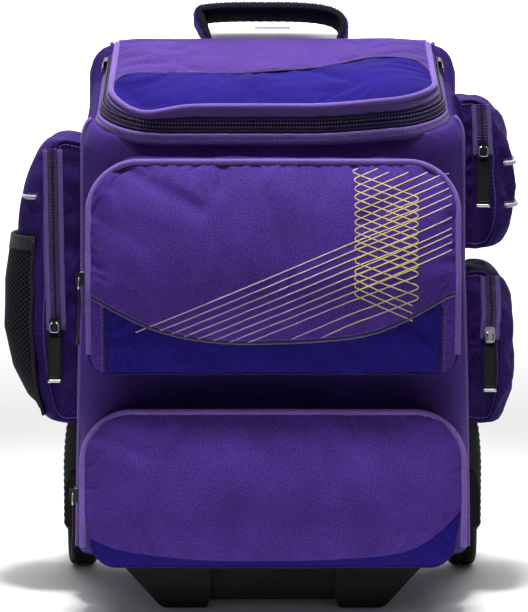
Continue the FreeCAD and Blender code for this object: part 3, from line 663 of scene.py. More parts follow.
# The front wall takes the wall cloth: purple painted darker as painted shade.
wall_panel("front_wall", FRONT_SEAM, FULL_ROUND - FRONT_SEAM, 150, 110, 3, WALL_PAINTED_SHADE, "front_panel")
# The side and back walls take the side cloth: purple painted darker as painted shade.
wall_panel("left_wall", BACK_SEAM, FRONT_SEAM, 56, 130, 5, SHADE, "left_side_panel")
wall_panel("right_wall", FULL_ROUND - FRONT_SEAM, FULL_ROUND - BACK_SEAM, 56, 130, 7, SHADE, "right_side_panel")
wall_panel("back_wall", FULL_ROUND - BACK_SEAM, FULL_ROUND + BACK_SEAM, 110, 120, 9, SHADE, "back_panel")


def floor_panel():
    """Bottom cloth: the body's plan shrunk to its middle ring by ring, and the same rings higher for its inside."""
    rim = wall(np.linspace(0, FULL_ROUND, 160, endpoint=False), BASE_Z, -1.2)
    share = np.linspace(0.02, 1.0, 24)[:, None, None]
    low = np.concatenate([rim[None, :, :2] * share, np.full((24, 160, 1), BASE_Z + 0.4)], 2)
    high = low[::-1] + np.array([0, 0, 3.2])
    # The bottom cloth takes the side cloth, painted darker as painted shade.
    piece("floor_cloth", loft(np.concatenate([low, high])), SHADE, "bag", ["bottom_panel"])


floor_panel()


def cord(name, path, radius, finish=PIPING, closed=False, body="bag", bend=None, up=(0.0, 0.0, 1.0),
         replaces=()):
    """Piping or cord sewn down along a path."""
    return piece(name, tube(path, radius, closed, 10, up), finish, body, replaces, bend)


def sewn_row(name, path, out, finish=THREAD, body="bag", bend=None, pitch=3.4, long=2.5, wide=0.75, high=0.45):
    """A row of stitches: one small bead of thread every pitch along a path, standing on the surface's out side."""
    path = np.asarray(path, float)
    length = np.linalg.norm(np.diff(path, axis=0), axis=1).sum()
    both = resample(np.hstack([path, np.broadcast_to(out, path.shape)]), max(3, int(length / pitch)))
    tangent, side, up = along(both[:, :3], up=both[:, 3:])
    form = scatter(*bead(long, wide, high), both[:, :3] - up * 0.08, tangent, side, up)
    return piece(name, form, finish, body, bend=bend)


def teeth(name, path, across, out, body, bend=None, pitch=2.7, gap=0.3, size=(1.5, 2.3, 1.25)):
    """One side of a zip: rounded teeth every pitch along a path, standing out, each reaching across from it."""
    path = np.asarray(path, float)
    length = np.linalg.norm(np.diff(path, axis=0), axis=1).sum()
    both = resample(np.hstack([path, np.broadcast_to(across, path.shape), np.broadcast_to(out, path.shape)]),
                    max(3, int(length / pitch)))
    middle, reach, up = both[:, :3], unit(both[:, 3:6]), unit(both[:, 6:])
    tangent = unit(np.gradient(middle, axis=0))
    form = scatter(*bead(size[0], size[1], size[2]), middle + reach * (gap + size[1] / 2), tangent, reach, up)
    return piece(name, form, TEETH, body, bend=bend)


# piping in the four upright seams of the wall
for name, run in (("left_front", FRONT_SEAM), ("right_front", FULL_ROUND - FRONT_SEAM),
                  ("left_back", BACK_SEAM), ("right_back", FULL_ROUND - BACK_SEAM)):
    height = np.linspace(BASE_Z + 2, float(wall_top(np.array(run))) - 1, 120)
    cord(f"{name}_seam", wall(np.full(120, run), height, 1.6), 2.1, up=(0.0, 1.0, 0.0))

# ---- the lid and its zip ----------------------------------------------------------------------------------
LID_HALF = 139.0  # half width of the lid


def lip(x, y):
    """Height of the lid's edge over its zip: less at the back, and least at the left front corner, which sags."""
    sag = 8.5 * np.exp(-((x + 122) / 28) ** 2) * (1 - smooth_step(y, -92.0, -45.0))
    return 15.9 - 3.6 * (y - FRONT) / (LID_BACK - FRONT) - sag


def lid_z(x, y):
    """Height of the lid's edge."""
    return zip_z(y) + lip(x, y) + skew(x, y)


def shoulder(run, above, out=0.0):
    """Point of the lid's upright edge: above is its height over the zip line. The edge leans in as it rises."""
    run, above, out = np.broadcast_arrays(np.asarray(run, float), above, out)
    x, y, _, side = plan(run)
    x = side * x * 0.87
    edge = lip(x, y)
    above = np.where(above > 0, above * edge / 16, above)
    level = zip_z(y) + np.minimum(above, edge) + skew(x, y)
    return drawn(run, level, out, np.interp(above / edge, [-1.1, 0, 1], [DRAWN_IN, 0.104, 0.148]))


def rim(run, out=0.0, rise=0.0):
    """Point of the lid's upper edge."""
    return shoulder(run, 16.0, out) + np.array([0, 0, 1.0]) * np.asarray(rise)[..., None]


LID_START, LID_END = side_run(LID_BACK), FULL_ROUND - side_run(LID_BACK)
ZIP_START, ZIP_END = side_run(ZIP_BACK), FULL_ROUND - side_run(ZIP_BACK)
LEFT_TURN = FRONT_START + FRONT_ARC * 0.55
SEAM_LEFT, SEAM_RIGHT = side_run(-62.0), FULL_ROUND - side_run(-40.0)


def lid_seam(count):
    """Wavy seam across the lid, in plan, between its blue and purple cloth."""
    left, right = rim(np.array(SEAM_LEFT))[:2], rim(np.array(SEAM_RIGHT))[:2]
    return soft_line([(*left, 0), (-126, -45, 14), (-79, -43, 30), (-16, -47, 36), (19, -40, 26), (75, -12, 34),
                      (108, 0, 26), (128, -4, 18), (*right, 0)], count)


def lid_face(plan, seed):
    """Height over a plan of x and y: the slope of the lid, a crown that fades to the rim, and soft folds."""
    x, y = plan[..., 0], plan[..., 1]
    side = 1 - np.abs(x) / LID_HALF
    front = (y - FRONT) / 60
    crown = (1 - np.exp(-np.clip(side, 0, 1) * 12)) * (1 - np.exp(-np.clip(front, 0, 4) * 3.2))
    crown = crown * (1 - 0.5 * smooth_step(y, 15, LID_BACK))
    folds = 1.0 * ripple(x, y, 80, seed) + 0.5 * ripple(x * 0.6, y * 1.8, 40, seed + 1)
    z = lid_z(x, y) + crown * (4.5 + folds) + 2.0 * crown * np.sin(np.clip((y - FRONT) / 181, 0, 1) * math.pi)
    return np.stack([x, y, z], -1)


def blown(grid, thick, inward, seams=None, **how):
    """Face of a sewn panel after it is blown out; its rim, its back and any seams stay where they are."""
    form = pad(grid, thick, inward=inward)
    count = grid.shape[0] * grid.shape[1]
    held = np.ones(len(form[0]), bool)
    free = np.zeros(grid.shape[:2], bool)
    free[1:-1, 1:-1] = True
    if seams is not None:
        free &= ~seams
    held[:count] = ~free.ravel()
    return puffed(form[0], form[1], held, **how)[:count].reshape(grid.shape)


DOWN, REARWARD = (0.0, 0.0, -1.0), (0.0, 1.0, 0.0)


def make_lid():
    """Blue front panel and purple main panel, each blown out, meeting at the wavy seam."""
    turn = np.linspace(LEFT_TURN, FULL_ROUND - LEFT_TURN, 96)
    seam = lid_seam(96)
    left = rim(np.linspace(LEFT_TURN, SEAM_LEFT, 24))[:, :2]
    right = rim(np.linspace(FULL_ROUND - LEFT_TURN, SEAM_RIGHT, 24))[:, :2]
    blue = lid_face(four_edged(rim(turn)[:, :2], seam, left, right), 21)
    back = np.stack([np.linspace(rim(np.array(LID_START))[0], rim(np.array(LID_END))[0], 96),
                     np.full(96, LID_BACK)], 1)
    left = rim(np.linspace(SEAM_LEFT, LID_START, 30))[:, :2]
    right = rim(np.linspace(SEAM_RIGHT, LID_END, 30))[:, :2]
    main = lid_face(four_edged(seam, back, left, right), 23)
    x, y = main[..., 0], main[..., 1]
    dart = crease(x, y, (-75, 56), (-83, -34), 2.2) + crease(x, y, (85, 50), (87, 2), 2.2)
    main[..., 2] -= 1.1 * dart
    blue = finer(blown(blue, 4.0, DOWN, pressure=4.5, slack=0.03, cap=5.0), 2)
    main = finer(blown(main, 4.0, DOWN, seams=dart > 0.5, pressure=3.5, slack=0.015, cap=3.5), 2)
    form = pad(blue, 5.0, inward=DOWN)
    piece("lid_blue", form[:3], [BLUE, LINING], "lid", ["lid_panel"], which=form[3])
    form = pad(main, 5.0, inward=DOWN)
    # The lid's purple takes the top cloth, painted lighter and greyer as a painted highlight.
    piece("lid_purple", form[:3], [PURPLE_TOP_PAINTED_LIGHT, LINING], "lid", ["lid_panel"], which=form[3])
    up = np.array([0.0, -0.28, 0.96])
    sewn_row("lid_seam_stitches", main[3:-3, 2] + up * 0.1, up, THREAD, "lid")
    cord("lid_seam_fold", main[:, 0] + np.array([0, 0, 0.2]), 0.9, DARK_THREAD, body="lid")


make_lid()


def band(name, start, end, low, high, out, columns, rows, finish, body, slot="zip_tape", thick=1.6, bow=0.0,
         replaces=(), seed=1):
    """Strip round the lid's upright edge between two heights over the zip line, bowed out in its middle."""
    run = np.linspace(start, end, columns)[:, None]
    share = np.linspace(0, 1, rows)[None, :]
    curve = out + bow * 4 * share * (1 - share) + 0.15 * ripple(run, 30 * share, 22, seed)
    form = pad(shoulder(run, low + (high - low) * share, curve), thick)
    return piece(name, form[:3], finish, body, replaces)


def round_edge(start, end, above, out, count):
    """Path round the lid's upright edge, with its outward directions."""
    run = np.linspace(start, end, count)
    return shoulder(run, above, out), unit(wall(run, 400.0, 1.0) - wall(run, 400.0, 0.0))


LID_RUN = dict(start=LID_START, end=LID_END, columns=300)
band("lid_lip", low=7.6, high=16.0, out=0.9, rows=9, finish=BINDING, body="lid", slot="fabric_purple", bow=0.9,
     thick=3.0, seed=31, **LID_RUN)
ZIP_RUN = dict(start=ZIP_START, end=ZIP_END, columns=300)
band("lid_zip_tape", low=0.5, high=8.6, out=0.9, rows=5, finish=TAPE, body="lid",
     replaces=["lid_zip_upper"], **ZIP_RUN)
band("bag_zip_tape", low=-7.4, high=-0.5, out=0.9, rows=5, finish=TAPE, body="bag",
     replaces=["lid_zip_lower"], **ZIP_RUN)
band("bag_zip_binding", low=-17.0, high=-6.6, out=1.5, rows=7, finish=BINDING, body="bag",
     slot="fabric_purple", bow=0.8, thick=2.4, seed=33, **ZIP_RUN)
for name, level, out, start, end, body, finish in (
        ("lid_lip_stitches", 9.4, 1.6, LID_START, LID_END, "lid", THREAD),
        ("binding_stitches", -8.2, 2.4, ZIP_START, ZIP_END, "bag", THREAD),
        ("binding_lower_stitches", -15.6, 2.2, ZIP_START, ZIP_END, "bag", DARK_THREAD)):
    path, away = round_edge(start, end, level, out, 300)
    sewn_row(name, path, away, finish, body)
for name, level, reach, body in (("lid_teeth", 0.15, 1.0, "lid"), ("bag_teeth", -0.15, -1.0, "bag")):
    path, away = round_edge(ZIP_START + 3, ZIP_END - 3, level, 1.0, 300)
    teeth(name, path, (0.0, 0.0, reach), away, body)
    path, away = round_edge(ZIP_START + 3, ZIP_END - 3, level + 4.6 * reach, 1.2, 300)
    cord(f"{name}_ridge", path, 0.7, TAPE, body=body)
lid_rim = rim(np.linspace(LID_START, LID_END, 360), 1.0, 0.6)
lid_rim[:, 2] -= 4.0 * smooth_step(lid_rim[:, 1], LID_BACK - 12, LID_BACK)
cord("lid_piping", lid_rim, 2.6, body="lid")


def back_hem():
    """Hem of the lid's back edge over the hinge: a soft cord across the bag."""
    ends = rim(np.array([LID_START, LID_END]))
    path = ends[0] + (ends[1] - ends[0]) * np.linspace(0, 1, 60)[:, None]
    cord("lid_back_hem", path + np.array([0, 0.2, -1.2]), 2.4, body="lid")


back_hem()


def back_strip():
    """Strip behind the lid: flat across, sloping down to the back and turned down at its sides."""
    x = np.linspace(-140, 140, 120)[:, None]
    y = np.linspace(LID_BACK + 1.5, BACK - 1, 26)[None, :]
    inset = np.clip((np.abs(x) - 132) / 8, 0, 1) ** 2 * 2
    z = strip_z(y) + 0.8 - inset - 1.5 * smooth_step(y, BACK - 6, BACK) + 0.5 * ripple(x, y, 55, 41)
    form = pad(np.stack(np.broadcast_arrays(x, y, z), -1), 4.0)
    # The back strip takes the top cloth, painted lighter and greyer as a painted highlight.
    piece("back_strip", form[:3], [PURPLE_TOP_PAINTED_LIGHT, LINING], "bag", ["rear_top_strip"], which=form[3])
    run = np.linspace(-LID_START + 1, LID_START - 1, 260)
    cord("back_strip_piping", wall(run, wall_top(run) + 0.6, 0.6), 2.0)


back_strip()


# ---- front pockets ------------------------------------------------------------------------------------------
def corner_line(half, low, high, reach, count):
    """Right edge of a pocket's face from a low height: straight up, then round the top corner to 45 degrees."""
    turn = np.linspace(0, math.pi / 4, 12)
    arc = np.stack([half - reach + reach * np.cos(turn), high - reach + reach * np.sin(turn)], 1)
    return resample(np.vstack([[[half, low]], arc]), count)


def top_line(half, high, reach, count):
    """Top edge of a pocket's face from the left corner at 45 degrees to the right one."""
    turn = np.linspace(math.pi / 4, math.pi / 2, 12)
    arc = np.stack([half - reach + reach * np.cos(turn), high - reach + reach * np.sin(turn)], 1)
    return resample(np.vstack([arc * [-1, 1], arc[::-1]]), count)


MIRROR = np.array([-1.0, 1.0])


class FrontPocket:
    """Shape of one front pocket. Its face is foremost at its crest, leans back above it and tucks in below."""

    def __init__(self, tag, half, low, high, face, hinge, flap, seed, crest, top_lean, tuck, taper):
        self.crest, self.top_lean, self.tuck, self.taper = crest, top_lean, tuck, taper
        self.tag, self.half, self.low, self.high, self.face, self.hinge = tag, half, low, high, face, hinge
        self.flap, self.seed, self.middle = flap, seed, (low + high) / 2
        self.bend = ("bag", flap, tuple(to_frame(np.array([0.0, face, hinge - 7]))),
                     tuple(to_frame(np.array([0.0, face, hinge + 7]))))
        self.inside = (0.0, -120.0, self.middle)

    def setback(self, z):
        """How far the seam round the face lies back from the pocket's front plane."""
        top = np.clip((z - self.high + self.crest) / self.crest, 0, 1) ** 1.3
        bottom = np.clip((self.high - self.crest - z) / (self.high - self.crest - self.low), 0, 1) ** 1.3
        return 3.2 + self.top_lean * top + self.tuck * bottom

    def round_path(self, start, count, top=True):
        """Outline from a height on the left, round the top or the bottom, to the same height on the right."""
        if top:
            right = corner_line(self.half, start, self.high, 42, 90)
            over = top_line(self.half, self.high, 42, 160)
            return resample(np.vstack([right * MIRROR, over[1:-1], right[::-1]]), count)
        flip = np.array([0, self.low + self.high])
        right = corner_line(self.half, self.low + self.high - start, self.high, 16, 90) * [1, -1] + flip
        under = top_line(self.half, self.high, 16, 160) * [1, -1] + flip
        return self.narrow(resample(np.vstack([right * MIRROR, under[1:-1], right[::-1]]), count))

    def narrow(self, plan):
        """Draws the sides in towards the bottom."""
        depth = np.clip((self.low + 64 - plan[..., 1]) / 64, 0, 1) ** 1.6
        return np.stack([plan[..., 0] * (1 - self.taper * depth), plan[..., 1]], -1)

    def face_points(self, plan):
        """Places x and z on the face: quick rise from the seam, a broad belly, and soft waves."""
        x, z = plan[..., 0], plan[..., 1]
        side, over, under = self.half - np.abs(x), self.high - z, z - self.low
        rise = ((1 - np.exp(-np.clip(side, 0, 99) / 11)) * (1 - np.exp(-np.clip(over, 0, 99) / 13))
                * (1 - np.exp(-np.clip(under, 0, 99) / 9)))
        share = np.clip(under / (self.high - self.low), 0, 1)
        belly = (1 - (x / self.half) ** 4) * np.sin(math.pi * share ** 1.15)
        wave = 0.7 * ripple(x, z, 95, self.seed) + 0.35 * ripple(x * 0.7, z, 42, self.seed + 1)
        y = self.face + self.setback(z) - rise * (4.4 + 4.6 * belly + wave)
        return np.stack([x, y, z], -1)

    def side_points(self, path, y):
        """Gusset points: an outline path carried back to each y, with the top's lean back shared out."""
        x, z = path[:, None, 0], path[:, None, 1]
        y = np.asarray(y, float)
        if y.ndim == 1:
            y = y[None, :]
        forward = np.clip((BACK_LINE - y) / (BACK_LINE - self.face), 0, 1)
        y = y + (self.setback(z) - 3.2) * forward
        return np.stack(np.broadcast_arrays(x, y, z), -1)

    def strip(self, name, path, y0, y1, rows, finish, body, slot="fabric_purple", bow=0.0, thick=2.2, out=0.0,
              replaces=(), bend=None, wave=0.5):
        """Strip of the gusset between two depths, bowed out in its middle."""
        share = np.linspace(0, 1, rows)
        grid = self.side_points(path, y0 + (y1 - y0) * share)
        away = grid_normals(grid, self.inside)
        run = np.linspace(0, 1, len(path))[:, None] * np.linalg.norm(np.diff(path, axis=0), axis=1).sum()
        puff = bow * 4 * share * (1 - share) * (1 + wave * ripple(run, 60 * share[None], 48, self.seed + 5))
        grid = grid + away * (out + puff)[..., None]
        form = pad(grid, thick, self.inside)
        return piece(f"{self.tag}_{name}", form[:3], finish, body, replaces, bend)

    def zip_lines(self):
        """Back gusset, tapes, teeth, stitches and the flap's rim round the top, above the hinge."""
        tag, face = self.tag, self.face
        path = self.round_path(self.hinge + 0.6, 300)
        bare = self.round_path(self.hinge + 4, 300)
        middle = face + 14.0
        # The back gusset takes the side cloth, painted darker as painted shade.
        self.strip("gusset_back", path, BACK_LINE, face + 20.0, 12, SHADE, "bag", bow=2.2,
                   replaces=[f"{tag}_pouch"])
        self.strip("zip_tape_back", path, face + 20.4, middle + 0.5, 4, TAPE, "bag", "zip_tape", out=0.7, thick=1.4,
                   replaces=[f"{tag}_zip"])
        self.strip("zip_tape_front", path, middle - 0.5, face + 7.6, 4, TAPE, self.flap, "zip_tape", out=0.7,
                   thick=1.4)
        self.strip("flap_rim", path, face + 8.0, face + 4.2, 4, PURPLE, self.flap, bow=0.4,
                   replaces=[f"{tag}_flap"])
        for name, reach, body in (("teeth_back", 1.0, "bag"), ("teeth_front", -1.0, self.flap)):
            grid = self.side_points(bare, np.array([middle - 1, middle + 0.15 * reach, middle + 1]))
            away = grid_normals(grid, self.inside)[:, 1]
            teeth(f"{tag}_{name}", grid[:, 1] + away * 0.8, (0.0, reach, 0.0), away, body, size=(1.5, 2.0, 1.1))
        for name, back, body in (("stitches_back", 22.0, "bag"), ("stitches_front", 6.6, self.flap)):
            grid = self.side_points(bare, face + np.array([back - 1, back, back + 1]))
            away = grid_normals(grid, self.inside)[:, 1]
            sewn_row(f"{tag}_{name}", grid[:, 1] + away * 0.4, away, THREAD, body)

    def piping(self):
        """Cord in the seam over the face's sides and top, and the plain seam under it."""
        # The seam under the face takes the side cloth, painted darker as painted shade.
        seams = (("piping", self.round_path(self.low + 17, 420), 2.7, PIPING),
                 ("foot_seam", self.round_path(self.low + 19, 300, False), 1.1, SHADE))
        for name, outline, radius, finish in seams:
            path = np.stack([outline[:, 0], self.face + self.setback(outline[:, 1]) + 0.4, outline[:, 1]], 1)
            away = unit(path - np.array([0, -150.0, self.middle]))
            cord(f"{self.tag}_{name}", path + away * 0.5, radius, finish, bend=self.bend, up=(0.0, -1.0, 0.0))


BACK_LINE = FRONT - 0.5


def on_surface(grid, plan, rise):
    """Points over a face at places x and z: the nearest grid point's tangent plane, lifted by rise. Also normals."""
    normals = grid_normals(grid).reshape(-1, 3)
    points = grid.reshape(-1, 3)
    nearest = np.array([np.argmin((points[:, 0] - x) ** 2 + (points[:, 2] - z) ** 2) for x, z in plan])
    p, n = points[nearest], normals[nearest]
    y = p[:, 1] - (n[:, 0] * (plan[:, 0] - p[:, 0]) + n[:, 2] * (plan[:, 1] - p[:, 2])) / n[:, 1]
    return np.stack([plan[:, 0], y, plan[:, 1]], 1) + n * rise, n


UPPER = FrontPocket("upper_pocket", 155.0, 211.0, 389.0, -174.0, 284.2, "upper_flap", 51, 104.0, 17.0, 10.0, 0.0)
LOWER = FrontPocket("lower_pocket", 161.0, 47.0, 177.0, -176.0, 100.2, "lower_flap", 71, 96.0, 14.0, 2.5, 0.08)
UPPER_CURVE = [(-157, 278, 0), (-140, 268, 14), (-100, 247, 30), (-45, 236, 40), (60, 239, 50), (103, 251, 26),
               (140, 273, 18), (157, 280, 0)]
LOWER_CURVE = [(-163, 72, 0), (-140, 61, 20), (-70, 52, 40), (40, 52, 50), (118, 58, 26), (142, 72, 18),
               (163, 96, 0)]
PRINT_SLOPE = 0.418


def face_and_foot(pocket, curve, seams, folds=None, foot=BLUE, blow=None):
    """The two cloths of a pocket's face, over and under a curved seam, blown out together."""
    line = soft_line(curve, 88)
    right = corner_line(pocket.half, curve[-1][1], pocket.high, 42, 38)
    left = corner_line(pocket.half, curve[0][1], pocket.high, 42, 38) * MIRROR
    top = top_line(pocket.half, pocket.high, 42, 88)
    over = pocket.face_points(pocket.narrow(four_edged(line, top, left, right)))
    turned = np.array([0, pocket.low + pocket.high])
    right = corner_line(pocket.half, turned[1] - curve[-1][1], pocket.high, 16, 22) * [1, -1] + turned
    left = (corner_line(pocket.half, turned[1] - curve[0][1], pocket.high, 16, 22) * [1, -1] + turned) * MIRROR
    floor_line = top_line(pocket.half, pocket.high, 16, 88) * [1, -1] + turned
    under = pocket.face_points(pocket.narrow(four_edged(floor_line, line, left[::-1], right[::-1])))
    if folds is not None:
        over[..., 1] += folds(over[..., 0], over[..., 2])
    held = seams(under[..., 0], under[..., 2]) if seams else None
    blow = blow or {}
    over = finer(blown(over, 3.0, REARWARD, **blow), 2)
    under = finer(blown(under, 3.0, REARWARD, seams=held, **blow) if seams else under, 2)
    for name, grid, finish in (("face", over, PURPLE), ("foot", under, foot)):
        form = pad(grid, 3.6, inward=REARWARD)
        which = form[3]
        if name == "foot" and seams:
            middle = form[0][np.array([f for f in form[1]])].mean(1)
            which = np.where(which == 1, 1, np.where(np.abs(middle[:, 0]) > 142, 2, 0))
        piece(f"{pocket.tag}_{name}", form[:3], [finish, LINING, PURPLE], "bag",
              [f"{pocket.tag}_flap"], pocket.bend, which=which)
    return over, under, line


def upper_folds(x, z):
    """Soft slanting folds where the flap's corners are pulled, as lines of gentle hollows."""
    folds = 3.4 * crease(x, z, (-128, 384), (-62, 350), 8) + 1.2 * crease(x, z, (-150, 344), (-112, 322), 8)
    folds = folds - 1.4 * crease(x, z, (-140, 364), (-90, 340), 9) + 1.0 * crease(x, z, (-42, 386), (-24, 358), 10)
    folds = folds + 2.3 * crease(x, z, (131, 380), (76, 338), 9) - 1.0 * crease(x, z, (146, 352), (112, 322), 9)
    return folds + 0.9 * crease(x, z, (-150, 305), (-120, 292), 8)


def lower_folds(x, z):
    """The same at the lower pocket's corners."""
    folds = 2.2 * crease(x, z, (-150, 160), (-110, 142), 7) - 1.0 * crease(x, z, (-148, 144), (-100, 126), 9)
    return folds + 1.5 * crease(x, z, (150, 158), (118, 142), 8) + 0.5 * crease(x, z, (60, 174), (84, 150), 10)


def make_upper():
    """Upper pocket: side seams in its blue foot, a twisted cord along the curve, and the printed strands."""
    over, under, line = face_and_foot(UPPER, UPPER_CURVE, lambda x, z: np.abs(np.abs(x) - 142) < 2.2, upper_folds,
                                      blow=dict(pressure=4.0, slack=0.025, cap=5.0))
    for side in (-1, 1):
        plan = np.stack([np.full(30, side * 142.0), np.linspace(213, 268, 30)], 1)
        path, out = on_surface(under, plan, 0.2)
        cord(f"upper_pocket_side_seam_{'left' if side < 0 else 'right'}", path, 0.8, DARK_THREAD, bend=UPPER.bend)
        plan[:, 0] += side * 2.6
        path, out = on_surface(under, plan, 0.1)
        sewn_row(f"upper_pocket_side_stitches_{'left' if side < 0 else 'right'}", path, out, bend=UPPER.bend)
    along_curve = resample(line, 220)
    path, out = on_surface(over, along_curve + [0, 0.4], 0.5)
    piece("upper_pocket_silver_cord", tube(path, 0.9, up=out), SILVER_CORD, "bag", bend=UPPER.bend)
    path, out = on_surface(over, along_curve + [0, 3.4], 0.0)
    sewn_row("upper_pocket_curve_stitches", path[4:-4], out[4:-4], bend=UPPER.bend)
    print_strands(over)


def strand(points, grid, name):
    """One printed strand: a thin raised ribbon of ink over the cloth."""
    path, out = on_surface(grid, resample(soft_line(points, 400), 150), 0.12)
    piece(name, tube(path, 0.5, sides=6, up=out, flat=0.35), PRINT, "bag", bend=UPPER.bend)


def print_strands(grid):
    """Fifteen strands. Each rises in a straight line, folds back across a column three times, and rises on."""
    left, right, cross, back = 65.0, 125.0, 23.0, 22.0
    starts = [(left, 322.5 - 6.9 * k, 0) for k in range(8)]
    starts = [(left - (z - rise_start(z)) / PRINT_SLOPE, rise_start(z), z) for _, z, _ in starts]
    starts += [(15.0, 241.0, 263.0), (40.0, 242.0, 254.0)]
    for k, (x0, z0, z1) in enumerate(starts):
        zig = [(x0, z0, 0), (left, z1, 7), (right, z1 + cross, 7), (left, z1 + cross + back, 7)]
        leave = z1 + cross + back
        reach = min(150.0, left + (381 - leave) / PRINT_SLOPE)
        strand(zig + [(reach, leave + (reach - left) * PRINT_SLOPE, 0)], grid, f"print_strand_{k + 1}")
    for k, z1 in enumerate((329.4, 336.3)):
        leave = z1 + cross + back
        reach = min(150.0, left + (384 - leave) / PRINT_SLOPE)
        strand([(left + 30, z1 + 12.0, 0), (right, z1 + cross, 7), (left, leave, 7),
                (reach, leave + (reach - left) * PRINT_SLOPE, 0)], grid, f"print_strand_{k + 14}")
    for k, z0 in enumerate((262.0, 268.5, 275.0)):
        rise = z0 + 22
        reach = min(150.0, left + (370 - rise) / PRINT_SLOPE)
        high = rise - 3 + (reach - left) * PRINT_SLOPE
        strand([(right - 8, z0 - 5, 0), (left, rise - 3, 7), (reach, high, 0)], grid, f"print_strand_{k + 11}")


def rise_start(z):
    """Height at which a strand that reaches the column at z leaves the curved seam."""
    return 247.0 - (322.5 - z) * 0.22


make_upper()
face_and_foot(LOWER, LOWER_CURVE, None, lower_folds, blow=dict(pressure=4.0, slack=0.02, cap=5.0))
for pocket in (UPPER, LOWER):
    pocket.zip_lines()
    pocket.piping()
    # The lower gussets take the side cloth, painted darker as painted shade.
    pocket.strip("gusset_low", pocket.round_path(pocket.hinge, 260, False), BACK_LINE, pocket.face + 4.5, 22, SHADE,
                 "bag", bow=2.4, replaces=[f"{pocket.tag}_pouch"])


# ---- side pockets ---------------------------------------------------------------------------------------------
POCKET_FRONT, POCKET_BACK = -55.0, 60.0


